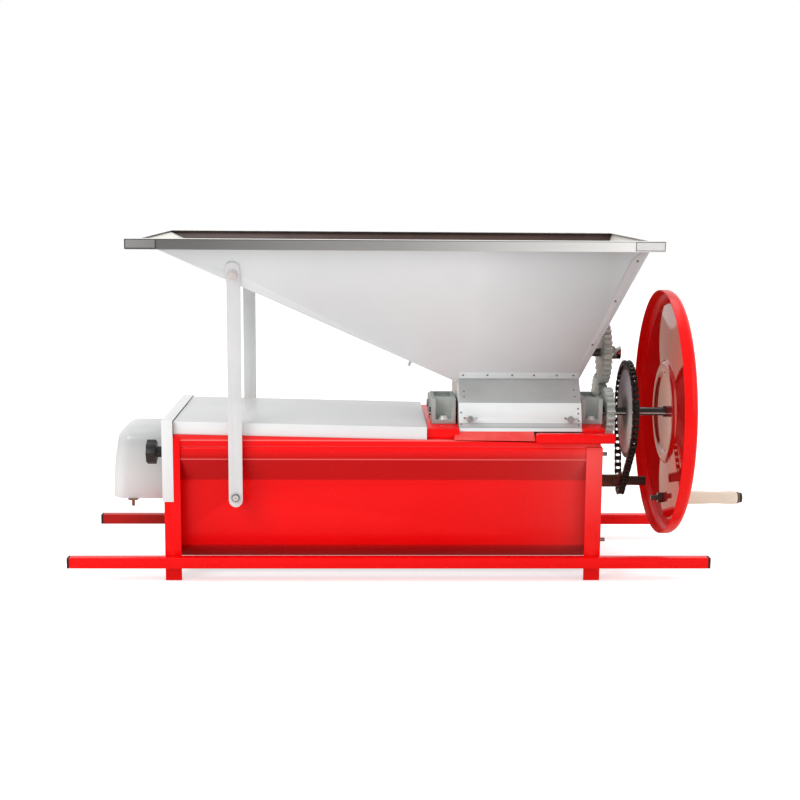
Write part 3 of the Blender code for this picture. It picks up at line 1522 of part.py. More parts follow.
bearing_block("bearing_block_left", block_left_start, block_left_length)
bearing_block("bearing_block_right", block_right_start, block_right_length)
gears()
rollers()
auger()
destemmer()
screen()
sprockets()
drive_chain()
flywheel()
wheel_nut_piece()
crank_spindle()
grip()
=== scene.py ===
# %% [markdown]
# # A hand cranked grape crusher and destemmer
# Grapes go into the hopper, two fluted rollers crush them, and a paddle shaft in the drum below
# throws the stems out through the white hood at the left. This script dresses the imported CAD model:
# it keeps every solid where it is, gives each one a finish made of nodes, and models again the
# pieces whose fine shape the solids leave out.

# %% Load the frame
import bpy
import json
import math
from mathutils import Matrix, Vector

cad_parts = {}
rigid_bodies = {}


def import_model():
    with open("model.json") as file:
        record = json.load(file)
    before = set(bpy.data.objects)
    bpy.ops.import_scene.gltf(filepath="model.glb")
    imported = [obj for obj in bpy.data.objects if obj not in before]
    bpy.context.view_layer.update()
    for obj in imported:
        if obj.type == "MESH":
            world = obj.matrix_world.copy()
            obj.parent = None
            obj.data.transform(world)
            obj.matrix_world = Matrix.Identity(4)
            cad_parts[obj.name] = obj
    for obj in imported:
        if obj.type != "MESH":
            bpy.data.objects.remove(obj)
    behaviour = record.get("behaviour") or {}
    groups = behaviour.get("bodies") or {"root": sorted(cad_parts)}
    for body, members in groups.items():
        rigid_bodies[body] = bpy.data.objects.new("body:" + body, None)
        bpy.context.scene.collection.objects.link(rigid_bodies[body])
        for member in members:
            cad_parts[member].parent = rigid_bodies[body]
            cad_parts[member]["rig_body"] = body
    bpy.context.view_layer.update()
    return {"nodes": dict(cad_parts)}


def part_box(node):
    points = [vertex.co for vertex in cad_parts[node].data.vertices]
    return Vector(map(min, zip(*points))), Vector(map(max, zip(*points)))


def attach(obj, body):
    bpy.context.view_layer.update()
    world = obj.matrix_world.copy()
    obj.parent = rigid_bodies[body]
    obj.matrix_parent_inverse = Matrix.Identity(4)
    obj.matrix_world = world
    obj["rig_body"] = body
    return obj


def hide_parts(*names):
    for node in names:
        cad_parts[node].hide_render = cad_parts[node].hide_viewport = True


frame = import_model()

# %% [markdown]
# ## Where things are
# The drawing of the machine has its zero in the body's middle plane, 44.65 mm to the left and 25.05 mm
# to the front of this scene's zero. One helper adds that step, so the numbers below are those of the drawing.

# %% A helper for places
drawing_step = Vector((-0.04465, 0.02505, 0.0))
crank_y, crank_z = -0.0423, 0.3007


def at(x, y, z):
    """A place of the machine's drawing, in this scene."""
    return Vector((x, y, z)) + drawing_step


def middle_of(node):
    """The middle of a CAD node's box."""
    low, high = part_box(node)
    return (low + high) / 2.0


print("crank axis at", tuple(round(v, 4) for v in at(0.0, crank_y, crank_z)))

# %% [markdown]
# ## The camera
# The photograph was taken from the front, a little above the rim and a touch to the left of the middle,
# with a moderately long lens. Its direction is given by three angles and turned into a matrix, because
# the small roll of the photograph is then kept exactly.

# %% Camera
camera_data = bpy.data.cameras.new("photo_camera")
camera = bpy.data.objects.new("photo_camera", camera_data)
bpy.context.scene.collection.objects.link(camera)
camera_data.lens, camera_data.sensor_width = 62.68, 36.0
camera_data.clip_start, camera_data.clip_end = 0.05, 50.0
pitch, yaw, roll = (math.radians(a) for a in (8.8673, 1.4817, 0.4026))
ahead = Vector((math.sin(yaw) * math.cos(pitch), math.cos(yaw) * math.cos(pitch), -math.sin(pitch)))
level = Vector((math.cos(yaw), -math.sin(yaw), 0.0))
upright = level.cross(ahead)
across = math.cos(roll) * level + math.sin(roll) * upright
up = -math.sin(roll) * level + math.cos(roll) * upright
turn = Matrix((across, up, -ahead)).transposed().to_4x4()
camera.matrix_world = Matrix.Translation(at(-0.04893, -2.66547, 0.73058)) @ turn
bpy.context.scene.camera = camera
bpy.context.scene.view_settings.view_transform = "Standard"
print("camera", [round(v, 3) for v in camera.location], "lens", camera_data.lens)

# %% [markdown]
# ## Floor, backdrop and light
# A studio shot on white: the floor is a pale sheet that keeps the soft shadow, and it is lifted for camera
# rays only, so that it joins the white backdrop without throwing more light on the machine. Gloss sees the floor
# in a warm tone, which gives the wheel its pale mirrored patches. The world is white behind the machine and
# darker behind the camera, as a real studio is, which keeps the red deep.

# %% Helpers for nodes
WHITE = (1.0, 1.0, 1.0, 1.0)
FIRST, SECOND, MIXED = 6, 7, 2  # the colour sockets of a mix node: two inputs and the output


def node_in(tree, kind, **values):
    """A node with its input values set by name."""
    made = tree.nodes.new("ShaderNode" + kind)
    for key, value in values.items():
        made.inputs[key.replace("_", " ")].default_value = value
    return made


def reckoner(tree, kind, operation):
    """A math node set to one operation."""
    made = node_in(tree, kind)
    made.operation = operation
    return made


def colour_mix(tree):
    """A mix node set to colours."""
    made = node_in(tree, "Mix")
    made.data_type = "RGBA"
    return made


def wire(tree, *pairs):
    """Link outputs to inputs, given in pairs."""
    for start, end in pairs:
        tree.links.new(start, end)


print("node helpers ready")

# %% Floor
bpy.ops.object.select_all(action="DESELECT")
bpy.ops.mesh.primitive_plane_add(size=14.0, location=(0.0, 1.0, 0.0))
floor = bpy.context.active_object
floor.name = "studio_floor"
bpy.ops.object.mode_set(mode="EDIT")
bpy.ops.mesh.subdivide(number_cuts=4)
bpy.ops.object.mode_set(mode="OBJECT")
bpy.ops.object.transform_apply(location=True)
floor_paper = bpy.data.materials.new("studio_paper")
floor_paper.use_nodes = True
paper = floor_paper.node_tree
paper_shader = paper.nodes["Principled BSDF"]
for key, value in (("Roughness", 0.9), ("Specular IOR Level", 0.0), ("Emission Color", WHITE)):
    paper_shader.inputs[key].default_value = value
ray, lift, warmed = node_in(paper, "LightPath"), reckoner(paper, "Math", "MULTIPLY"), colour_mix(paper)
lift.inputs[1].default_value = 0.55
warmed.inputs[FIRST].default_value = (0.86, 0.86, 0.86, 1.0)
warmed.inputs[SECOND].default_value = (0.80, 0.62, 0.52, 1.0)
wire(paper, (ray.outputs["Is Camera Ray"], lift.inputs[0]), (lift.outputs[0], paper_shader.inputs["Emission Strength"]),
     (ray.outputs["Is Glossy Ray"], warmed.inputs["Factor"]),
     (warmed.outputs[MIXED], paper_shader.inputs["Base Color"]))
floor.data.materials.append(floor_paper)
print("floor", floor.name, "of", len(floor.data.polygons), "faces")

# %% World
world = bpy.data.worlds.new("studio_world")
bpy.context.scene.world = world
world.use_nodes = True
sky = world.node_tree
sky.nodes.clear()
lit = node_in(sky, "Background", Color=WHITE, Strength=0.74)
seen, plain_white = (node_in(sky, "Background", Color=WHITE) for _ in range(2))
studio_depth = node_in(sky, "MapRange", From_Min=-0.75, From_Max=0.35, To_Min=0.30, To_Max=1.0)
sky_out, direction, split, path, mixed, camera_white = (
    node_in(sky, kind) for kind in ("OutputWorld", "TexCoord", "SeparateXYZ", "LightPath", "MixShader", "MixShader"))
shown = reckoner(sky, "Math", "MAXIMUM")
wire(sky, (direction.outputs["Generated"], split.inputs[0]), (split.outputs["Y"], studio_depth.inputs["Value"]),
     (studio_depth.outputs[0], seen.inputs["Strength"]), (path.outputs["Is Glossy Ray"], shown.inputs[0]),
     (path.outputs["Is Transmission Ray"], shown.inputs[1]), (shown.outputs[0], mixed.inputs[0]),
     (lit.outputs[0], mixed.inputs[1]), (seen.outputs[0], mixed.inputs[2]),
     (path.outputs["Is Camera Ray"], camera_white.inputs[0]), (mixed.outputs[0], camera_white.inputs[1]),
     (plain_white.outputs[0], camera_white.inputs[2]), (camera_white.outputs[0], sky_out.inputs[0]))
print("world nodes:", len(sky.nodes))


# %% Lamps
def softbox(name, place, aim, size, power):
    """A square studio lamp that faces a place."""
    data = bpy.data.lights.new(name, "AREA")
    data.shape, data.size, data.energy = "SQUARE", size, power
    lamp = bpy.data.objects.new(name, data)
    bpy.context.scene.collection.objects.link(lamp)
    lamp.location = place
    lamp.rotation_euler = (Vector(aim) - Vector(place)).to_track_quat("-Z", "Y").to_euler()
    return lamp


softbox("key_left", (-2.0, -1.9, 2.5), (0.0, 0.0, 0.30), 1.6, 46.0)
softbox("fill_right", (2.6, -1.6, 1.4), (0.1, 0.0, 0.25), 1.8, 14.0)
softbox("top_back", (0.2, 1.2, 2.9), (0.0, 0.0, 0.35), 2.0, 26.0)
print("three lamps")

# %% [markdown]
# ## Shared effects
# Paint, sheet and castings are never one flat colour: the tone drifts over a few centimetres, the gloss
# drifts with it, and a fine grain breaks up the reflections. One node group makes these three things from
# Object coordinates, and each finish sets its own colours and scales on it. A second group draws the long
# fine lines of brushed or rolled metal and of turned wood.

# %% Helpers for node groups
def new_group(name, wanted, given):
    """An empty node group with named sockets."""
    tree = bpy.data.node_groups.new(name, "ShaderNodeTree")
    kinds = {"C": "NodeSocketColor", "F": "NodeSocketFloat", "V": "NodeSocketVector"}
    for label, kind in wanted:
        tree.interface.new_socket(name=label, in_out="INPUT", socket_type=kinds[kind])
    for label, kind in given:
        tree.interface.new_socket(name=label, in_out="OUTPUT", socket_type=kinds[kind])
    return tree, tree.nodes.new("NodeGroupInput"), tree.nodes.new("NodeGroupOutput")


def tone_of(tree, entry, leave, share, noise):
    """What both groups do: two colours mixed by a share, with gloss and height that follow a noise."""
    mix, gloss = colour_mix(tree), reckoner(tree, "Math", "MULTIPLY_ADD")
    wire(tree, (share, mix.inputs["Factor"]), (entry.outputs["Colour"], mix.inputs[FIRST]),
         (entry.outputs["Second Colour"], mix.inputs[SECOND]), (mix.outputs[MIXED], leave.inputs["Colour"]),
         (noise, gloss.inputs[0]), (entry.outputs["Roughness Spread"], gloss.inputs[1]),
         (entry.outputs["Roughness"], gloss.inputs[2]), (gloss.outputs[0], leave.inputs["Roughness"]),
         (noise, leave.inputs["Height"]))
    print("group", tree.name, "with", len(tree.nodes), "nodes")


results = (("Colour", "C"), ("Roughness", "F"), ("Height", "F"))
print("group helpers ready")

# %% Drifting tone
tone, tone_in, tone_out = new_group(
    "drifting_tone", (("Colour", "C"), ("Second Colour", "C"), ("Drift Scale", "F"), ("Grain Scale", "F"),
                      ("Roughness", "F"), ("Roughness Spread", "F")), results)
tone_place = node_in(tone, "TexCoord")
drift = node_in(tone, "TexNoise", Detail=3.0, Roughness=0.55)
grain = node_in(tone, "TexNoise", Detail=2.0, Roughness=0.6)
for noise, label in ((drift, "Drift Scale"), (grain, "Grain Scale")):
    wire(tone, (tone_place.outputs["Object"], noise.inputs["Vector"]),
         (tone_in.outputs[label], noise.inputs["Scale"]))
spread = node_in(tone, "MapRange", From_Min=0.33, From_Max=0.67)
wire(tone, (drift.outputs["Fac"], spread.inputs["Value"]))
tone_of(tone, tone_in, tone_out, spread.outputs[0], grain.outputs["Fac"])

# %% Long lines of rolled or brushed metal
lines, lines_in, lines_out = new_group(
    "rolled_lines", (("Colour", "C"), ("Second Colour", "C"), ("Stretch", "V"), ("Roughness", "F"),
                     ("Roughness Spread", "F")), results)
lines_place, stretch = node_in(lines, "TexCoord"), node_in(lines, "Mapping")
streak = node_in(lines, "TexNoise", Scale=1.0, Detail=4.0, Roughness=0.65)
wire(lines, (lines_place.outputs["Object"], stretch.inputs["Vector"]), (stretch.outputs[0], streak.inputs["Vector"]),
     (lines_in.outputs["Stretch"], stretch.inputs["Scale"]))
tone_of(lines, lines_in, lines_out, streak.outputs["Fac"], streak.outputs["Fac"])

# %% [markdown]
# ## Finishes
# Each finish is a Principled material: what is the same all over, such as metal, coat and index, is set on
# the shader itself, and only what drifts comes from a group. On rough metal and wood the height goes through a
# Bump node with a depth of a few hundredths of a millimetre.


def finish(slot, name, tree_group, values, bump, **constants):
    """A Principled material fed by one of the shared groups."""
    made = bpy.data.materials.new(name)
    made.use_nodes = True
    tree = made.node_tree
    shader = tree.nodes["Principled BSDF"]
    effect = node_in(tree, "Group")
    effect.node_tree = tree_group
    for key, value in values.items():
        effect.inputs[key].default_value = value
    wire(tree, (effect.outputs["Colour"], shader.inputs["Base Color"]),
         (effect.outputs["Roughness"], shader.inputs["Roughness"]))
    if bump > 0.0:
        ripple = node_in(tree, "Bump", Strength=1.0, Distance=bump)
        wire(tree, (effect.outputs["Height"], ripple.inputs["Height"]), (ripple.outputs[0], shader.inputs["Normal"]))
    for key, value in constants.items():
        shader.inputs[key.replace("_", " ")].default_value = value
    return made


def painted(slot, name, colour, second, drift_scale, grain_scale, rough, rough_spread, bump=0.0, **constants):
    """A finish whose tone drifts."""
    return finish(slot, name, tone,
                  {"Colour": (*colour, 1.0), "Second Colour": (*second, 1.0), "Drift Scale": drift_scale,
                   "Grain Scale": grain_scale, "Roughness": rough, "Roughness Spread": rough_spread},
                  bump, **constants)


def enamelled(name, colour, second, drift_scale=5.0, **constants):
    """The machine's red gloss enamel, in a shade of its own."""
    return painted("red_paint", name, colour, second, drift_scale, 160.0, 0.24, 0.05,
                   **{"Specular_IOR_Level": 0.16, **constants})


def rolled(slot, name, colour, second, stretch_by, rough, rough_spread, bump=0.00002, **constants):
    """A finish with long lines."""
    return finish(slot, name, lines,
                  {"Colour": (*colour, 1.0), "Second Colour": (*second, 1.0), "Stretch": stretch_by,
                   "Roughness": rough, "Roughness Spread": rough_spread}, bump, **constants)


print("finish helpers ready")


# %% Helpers for bands, rings and falls of tone
def mixed_by(made, measure, low, high, stops, other):
    """Mix a finish's colour towards another by a ramp over a measured number."""
    tree = made.node_tree
    shader = tree.nodes["Principled BSDF"]
    before = shader.inputs["Base Color"].links[0].from_socket
    reach, ramp = node_in(tree, "MapRange", From_Min=low, From_Max=high), node_in(tree, "ValToRGB")
    mix = colour_mix(tree)
    points = ramp.color_ramp.elements
    for point, (where, amount) in zip((points[0], points[1]), (stops[0], stops[-1])):
        point.position, point.color = (where - low) / (high - low), (amount, amount, amount, 1.0)
    for where, amount in stops[1:-1]:
        points.new((where - low) / (high - low)).color = (amount, amount, amount, 1.0)
    mix.inputs[SECOND].default_value = (*other, 1.0)
    wire(tree, (measure, reach.inputs["Value"]), (reach.outputs[0], ramp.inputs[0]), (before, mix.inputs[FIRST]),
         (ramp.outputs["Color"], mix.inputs["Factor"]), (mix.outputs[MIXED], shader.inputs["Base Color"]))


def toned(made, axis, low, high, stops, other, step=0.0):
    """A fall of tone along one axis; the step turns places of the drawing into those of the scene."""
    tree = made.node_tree
    place, parts = node_in(tree, "TexCoord"), node_in(tree, "SeparateXYZ")
    wire(tree, (place.outputs["Object"], parts.inputs[0]))
    mixed_by(made, parts.outputs[axis], low + step, high + step,
             [(where + step, amount) for where, amount in stops], other)


def ringed(made, centre, stops, other, flatten=(0.0, 1.0, 1.0)):
    """A fall of tone with the distance from an axis, which runs along x unless flatten names other directions."""
    tree = made.node_tree
    place = node_in(tree, "TexCoord")
    less, flat, reach = (reckoner(tree, "VectorMath", work) for work in ("SUBTRACT", "MULTIPLY", "LENGTH"))
    less.inputs[1].default_value, flat.inputs[1].default_value = centre, flatten
    wire(tree, (place.outputs["Object"], less.inputs[0]), (less.outputs[0], flat.inputs[0]),
         (flat.outputs[0], reach.inputs[0]))
    mixed_by(made, reach.outputs["Value"], stops[0][0], stops[-1][0], stops, other)


step_x = drawing_step.x
print("band helpers ready")

# %% Red enamels
red_paint = enamelled("red_gloss_paint", (0.96, 0.0030, 0.0040), (0.91, 0.0020, 0.0030))
wheel_red = enamelled("wheel_gloss_paint", (0.92, 0.004, 0.004), (0.86, 0.003, 0.003), 6.0,
                      Specular_IOR_Level=0.14, Coat_Weight=0.08, Coat_Roughness=0.04)
# Painted shade and painted reflection: the wheel's web gets a darker copy of its enamel whose strong reflection is
# tinted warm.
web_red = painted("red_paint", "wheel_web_paint", (0.52, 0.006, 0.005), (0.46, 0.004, 0.004), 6.0, 160.0,
                  0.03, 0.02, IOR=2.6, Specular_Tint=(1.0, 0.80, 0.70, 1.0))
# Painted shade: the back bar's enamel darkens towards its left end.
bar_red = enamelled("back_bar_gloss_paint", (0.96, 0.0030, 0.0040), (0.91, 0.0020, 0.0030))
toned(bar_red, "X", -0.60, -0.30, ((-0.60, 0.55), (-0.44, 0.80), (-0.42, 0.80), (-0.40, 0.0)),
      (0.07, 0.016, 0.011))
# Painted light: the front right leg's enamel turns paler towards its top.
leg_red = enamelled("leg_gloss_paint", (0.95, 0.004, 0.005), (0.90, 0.003, 0.003))
toned(leg_red, "Z", 0.0, 0.25, ((0.0, 0.0), (0.10, 0.02), (0.17, 0.09), (0.225, 0.16), (0.25, 0.16)),
      (1.0, 0.50, 0.46))
# Painted shade: a dark copy of the enamel for the feet below the carry bars.
foot_red = enamelled("foot_gloss_paint", (0.30, 0.006, 0.008), (0.22, 0.005, 0.006), 6.0)
# Painted reflection: the skirt's red is lightened to pink, as if mirroring the bright crusher front above it.
skirt_red = painted("red_paint", "skirt_gloss_paint", (0.95, 0.10, 0.085), (0.90, 0.050, 0.045), 22.0, 160.0,
                    0.12, 0.04, Specular_IOR_Level=0.6)
print("reds:", [m.name for m in (red_paint, wheel_red, web_red, bar_red, leg_red, foot_red, skirt_red)])

# %% Red enamel of the side panels, with painted shade at the left end, under the rail and at the foot, painted lines of light at the folds, and painted light towards the right
panel_red = enamelled("panel_gloss_paint", (0.97, 0.0040, 0.0060), (0.93, 0.0030, 0.0040), 4.0)
toned(panel_red, "X", -0.42, 0.40, ((-0.42, 0.22), (-0.20, 0.02), (0.40, 0.0)), (0.30, 0.003, 0.004), step_x)
toned(panel_red, "Z", 0.03, 0.28,
      ((0.030, 0.55), (0.0605, 0.42), (0.0635, 0.0), (0.075, 0.0), (0.1845, 0.0), (0.1875, 0.40),
       (0.2255, 0.42), (0.2275, 0.20), (0.2320, 0.34), (0.2430, 0.06), (0.2480, 0.0)), (0.03, 0.001, 0.0015))
toned(panel_red, "Z", 0.20, 0.28,
      ((0.2000, 0.0), (0.2268, 0.0), (0.2280, 0.30), (0.2296, 0.0), (0.2508, 0.0), (0.2518, 0.10),
       (0.2528, 0.0), (0.2618, 0.0), (0.2634, 0.36), (0.2650, 0.04), (0.2700, 0.03)), (1.0, 0.62, 0.58))
toned(panel_red, "X", 0.05, 0.31, ((0.05, 0.0), (0.20, 0.015), (0.26, 0.04), (0.29, 0.07), (0.31, 0.12)),
      (1.0, 0.42, 0.38))
print(panel_red.name, "with", len(panel_red.node_tree.nodes), "nodes")

# %% White and grey paints
white_paint = painted("white_paint", "white_gloss_paint", (0.84, 0.845, 0.845), (0.80, 0.81, 0.815), 6.0,
                      160.0, 0.30, 0.05)
# Painted shade: a darker copy of the white paint for the lid's top faces.
lid_top = painted("white_paint", "lid_top_paint", (0.70, 0.705, 0.70), (0.66, 0.67, 0.665), 6.0, 160.0, 0.30,
                  0.05)
strap_paint = painted("white_paint", "strap_white_paint", (0.74, 0.75, 0.75), (0.68, 0.69, 0.70), 11.0, 320.0,
                      0.30, 0.15, 0.00005)
# Painted shade: the hood's white is a little darker than the lid's and darkens further towards the flange and near its
# top.
hood_paint = painted("white_paint", "hood_gloss_paint", (0.80, 0.81, 0.81), (0.76, 0.77, 0.77), 6.0, 160.0,
                     0.20, 0.04)
hood_painted_shade = (0.16, 0.165, 0.165)
toned(hood_paint, "X", -0.53, -0.41, ((-0.53, 0.0), (-0.51, 0.06), (-0.46, 0.20), (-0.41, 0.34)), hood_painted_shade,
      step_x)
toned(hood_paint, "Z", 0.13, 0.28,
      ((0.13, 0.0), (0.18, 0.04), (0.225, 0.16), (0.250, 0.28), (0.262, 0.20), (0.28, 0.10)), hood_painted_shade)
# Painted shade: the hopper sheet darkens towards its right end.
hopper_paint = painted("hopper_grey", "hopper_sheet_paint", (0.80, 0.835, 0.84), (0.74, 0.775, 0.78), 4.0,
                       420.0, 0.34, 0.10, 0.00002)
toned(hopper_paint, "X", -0.45, 0.48, ((-0.45, 0.0), (0.15, 0.0), (0.286, 0.22), (0.388, 0.42), (0.48, 0.30)),
      (0.05, 0.052, 0.052), step_x)
# Painted shade: the crusher sheet darkens at its foot and in a band just above its lower lip.
crusher_paint = painted("hopper_grey", "crusher_sheet_paint", (0.82, 0.85, 0.85), (0.75, 0.78, 0.78), 9.0,
                        300.0, 0.26, 0.10, 0.00002)
toned(crusher_paint, "Z", 0.26, 0.33,
      ((0.2600, 0.30), (0.2700, 0.0), (0.2820, 0.0), (0.2832, 0.62), (0.2862, 0.48), (0.2895, 0.40),
       (0.2905, 0.75), (0.2915, 0.10), (0.2990, 0.03), (0.33, 0.0)), (0.12, 0.135, 0.125))
cast_grey = painted("cast_grey", "cast_grey_paint", (0.46, 0.50, 0.47), (0.36, 0.40, 0.38), 26.0, 900.0, 0.40,
                    0.22, 0.00012)
gear_grey = painted("gear_grey", "zinc_casting", (0.72, 0.76, 0.71), (0.58, 0.62, 0.58), 30.0, 1100.0, 0.34,
                    0.25, 0.00010, Metallic=0.25)
print("paints:", [m.name for m in (white_paint, lid_top, strap_paint, hood_paint, hopper_paint, crusher_paint,
                                   cast_grey)])

# %% Bright metals
rim_steel = rolled("satin_steel", "satin_rim_steel", (0.92, 0.92, 0.90), (0.80, 0.80, 0.79),
                   (14.0, 300.0, 300.0), 0.26, 0.12, Metallic=0.25)
# Painted reflection: the rim's front skirt darkens towards its left end and along a thin strip at its top edge.
rim_front = rolled("satin_steel", "satin_rim_front", (0.94, 0.94, 0.92), (0.84, 0.84, 0.83),
                   (14.0, 300.0, 300.0), 0.30, 0.12, Metallic=0.15)
toned(rim_front, "X", -0.47, 0.48,
      ((-0.47, 0.86), (-0.335, 0.83), (-0.15, 0.72), (0.012, 0.64), (0.10, 0.52), (0.187, 0.38), (0.27, 0.27),
       (0.362, 0.14), (0.42, 0.0)), (0.01, 0.011, 0.010), step_x)
toned(rim_front, "Z", 0.60, 0.64, ((0.60, 0.0), (0.6290, 0.0), (0.6302, 0.45), (0.64, 0.45)),
      (0.02, 0.02, 0.019))
bright_steel = painted("bright_steel", "bright_zinc_steel", (0.78, 0.78, 0.77), (0.66, 0.67, 0.68), 40.0,
                       900.0, 0.14, 0.14, 0.00002, Metallic=1.0)
chrome = painted("bright_steel", "bright_nut_chrome", (0.62, 0.62, 0.60), (0.34, 0.34, 0.33), 110.0, 900.0,
                 0.06, 0.05, Metallic=1.0)
strap_steel = painted("bright_steel", "strap_bolt_steel", (0.72, 0.72, 0.71), (0.60, 0.60, 0.60), 90.0, 700.0,
                      0.25, 0.15, Metallic=0.2)
ringed(strap_steel, middle_of("strap_standoff_front"),
       ((0.0, 0.2), (0.0018, 0.5), (0.0026, 0.0), (0.0048, 0.0), (0.0058, 0.85), (0.0070, 0.85),
        (0.0078, 0.0), (0.0090, 0.0)), (0.05, 0.05, 0.055), (1.0, 0.0, 1.0))
# Worn bright steel for the small sprocket's collar, with painted shade darkening it above and below its middle height.
worn_and_shaded_collar = painted("bright_steel", "worn_shaft_steel", (0.78, 0.76, 0.72), (0.56, 0.52, 0.47), 90.0, 700.0,
                     0.25, 0.15, 0.00003)
toned(worn_and_shaded_collar, "Z", -0.013, 0.013,
      ((-0.013, 0.70), (-0.008, 0.35), (-0.004, 0.0), (0.003, 0.0), (0.007, 0.85), (0.013, 0.9)),
      (0.05, 0.035, 0.025), middle_of("small_sprocket").z)
print("bright metals:", [m.name for m in (rim_steel, rim_front, bright_steel, chrome, strap_steel, worn_and_shaded_collar)])

# %% Dark metals
shaft_steel = rolled("dark_steel", "oiled_shaft_steel", (0.060, 0.058, 0.050), (0.022, 0.021, 0.020),
                     (60.0, 700.0, 700.0), 0.16, 0.1, Specular_IOR_Level=0.6)
# Painted highlight: a thin bright line just below the height of the crank axis.
toned(shaft_steel, "Z", -0.006, 0.002,
      ((-0.006, 0.0), (-0.0042, 0.0), (-0.0032, 0.9), (-0.0018, 0.9), (-0.0006, 0.0), (0.002, 0.0)),
      (0.80, 0.80, 0.80), crank_z)
# Painted light and shade: the disc's grey-green is made pale because its face is lit weakly, and its upper half is
# painted darker purple-grey; the hub and a ring near the teeth are darker.
disc_steel = painted("dark_steel", "sprocket_disc_steel", (0.80, 0.86, 0.80), (0.66, 0.72, 0.68), 14.0, 800.0,
                     0.42, 0.12, 0.00002, Specular_IOR_Level=0.25)
toned(disc_steel, "Z", -0.10, 0.10, ((-0.10, 0.0), (-0.01, 0.0), (0.02, 0.85), (0.10, 1.0)),
      (0.46, 0.40, 0.45), crank_z)
ringed(disc_steel, at(0.0, crank_y, crank_z),
       ((0.0, 0.85), (0.024, 0.80), (0.031, 0.45), (0.040, 0.10), (0.070, 0.0), (0.079, 0.10), (0.081, 0.85),
        (0.10, 0.9)), (0.020, 0.022, 0.019))
chain_steel = painted("dark_steel", "oily_chain_steel", (0.050, 0.046, 0.042), (0.022, 0.020, 0.019), 50.0,
                      900.0, 0.26, 0.2, 0.00004, Metallic=0.8)
rusty_steel = painted("dark_steel", "rusty_sprocket_steel", (0.20, 0.105, 0.060), (0.07, 0.052, 0.045), 60.0,
                      1200.0, 0.42, 0.3, 0.00015, Metallic=0.4)
copper_stud = painted("bronze", "rusty_copper_stud", (0.42, 0.20, 0.10), (0.24, 0.13, 0.08), 120.0, 1500.0,
                      0.35, 0.25, 0.00006, Metallic=0.7)
roller_metal = painted("gear_grey", "roller_casting", (0.48, 0.49, 0.48), (0.36, 0.37, 0.37), 20.0, 800.0,
                       0.34, 0.2, 0.00008, Metallic=0.5)
print("dark metals:", [m.name for m in (shaft_steel, disc_steel, chain_steel, rusty_steel, copper_stud,
                                        roller_metal)])

# %% Plastic and wood
black_plastic = painted("black_plastic", "black_moulded_plastic", (0.016, 0.016, 0.017),
                        (0.010, 0.010, 0.011), 30.0, 1600.0, 0.36, 0.2, 0.00008)
wood = rolled("pale_wood", "pale_turned_wood", (0.95, 0.90, 0.76), (0.86, 0.77, 0.58), (9.0, 260.0, 260.0),
              0.34, 0.1, 0.00004)
# Painted shade: the grip's end is darkened.
dark_end = rolled("pale_wood", "burnt_end_grain", (0.20, 0.12, 0.07), (0.12, 0.07, 0.04),
                  (40.0, 300.0, 300.0), 0.5, 0.2, 0.00008)
print("others:", [m.name for m in (black_plastic, wood, dark_end)])

# %% Finishes on the CAD nodes
finishes = {
    "carry_bar": red_paint, "carry_bar_back": bar_red, "leg_": red_paint, "leg_front_right": leg_red,
    "side_panel": panel_red, "end_plate": red_paint, "deck_plate": red_paint, "cross_rail": red_paint,
    "ledge_bar": red_paint, "flywheel": wheel_red, "top_lid": white_paint, "stem_hood": hood_paint,
    "hood_flange": white_paint, "strap_front": strap_paint, "strap_back": strap_paint, "hopper_": hopper_paint,
    "crusher_": crusher_paint, "hopper_rim": rim_front, "destemmer_screen": rim_steel, "strap_bolt": strap_steel,
    "strap_standoff": strap_steel, "wing_nut": bright_steel, "bearing_block": cast_grey, "front_gear": gear_grey,
    "rear_gear": gear_grey, "auger_gear": gear_grey, "front_roller": roller_metal, "rear_roller": roller_metal,
    "auger": shaft_steel, "destemmer_shaft": shaft_steel, "big_sprocket": disc_steel, "small_sprocket": rusty_steel,
    "drive_chain": chain_steel, "wheel_nut": shaft_steel, "crank_spindle": shaft_steel, "hood_stud": copper_stud,
    "hood_knob": black_plastic, "bar_plug": black_plastic, "crank_grip": wood,
}


def finish_for(name):
    """The finish whose key fits the longest start of a node's name."""
    return finishes[max((key for key in finishes if name.startswith(key)), key=len)]


for name, solid in frame["nodes"].items():
    solid.data.materials.clear()
    solid.data.materials.append(finish_for(name))
print("finishes on", len(frame["nodes"]), "nodes")

# %% [markdown]
# ## Working on meshes
# Two habits keep modelling by script safe: everything is deselected before an operator runs, and a finished
# piece has its place in its mesh. Four helpers do the rest. One copies a CAD solid, merges its loose
# triangles and rounds its edges a little, since a real folded or cast edge catches a line of light. One gives
# chosen faces a second finish. One draws an outline by extruding a single vertex, and one spins that outline
# into a turned piece.


# %% Helpers for modelling
def only(*objects):
    """Select these objects and nothing else."""
    bpy.ops.object.select_all(action="DESELECT")
    for item in objects:
        item.select_set(True)
    bpy.context.view_layer.objects.active = objects[0]


def finished(piece, name, body, used, *nodes):
    """Name a piece, put its place in its mesh, and hand it to the frame."""
    piece.name = piece.data.name = name
    only(piece)
    bpy.ops.object.transform_apply(location=True, rotation=True, scale=True)
    piece.data.materials.clear()
    piece.data.materials.append(used)
    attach(piece, body)
    if nodes:
        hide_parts(*nodes)
    return piece


def body_of(node):
    """The body that a CAD node rides on."""
    return frame["nodes"][node]["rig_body"]


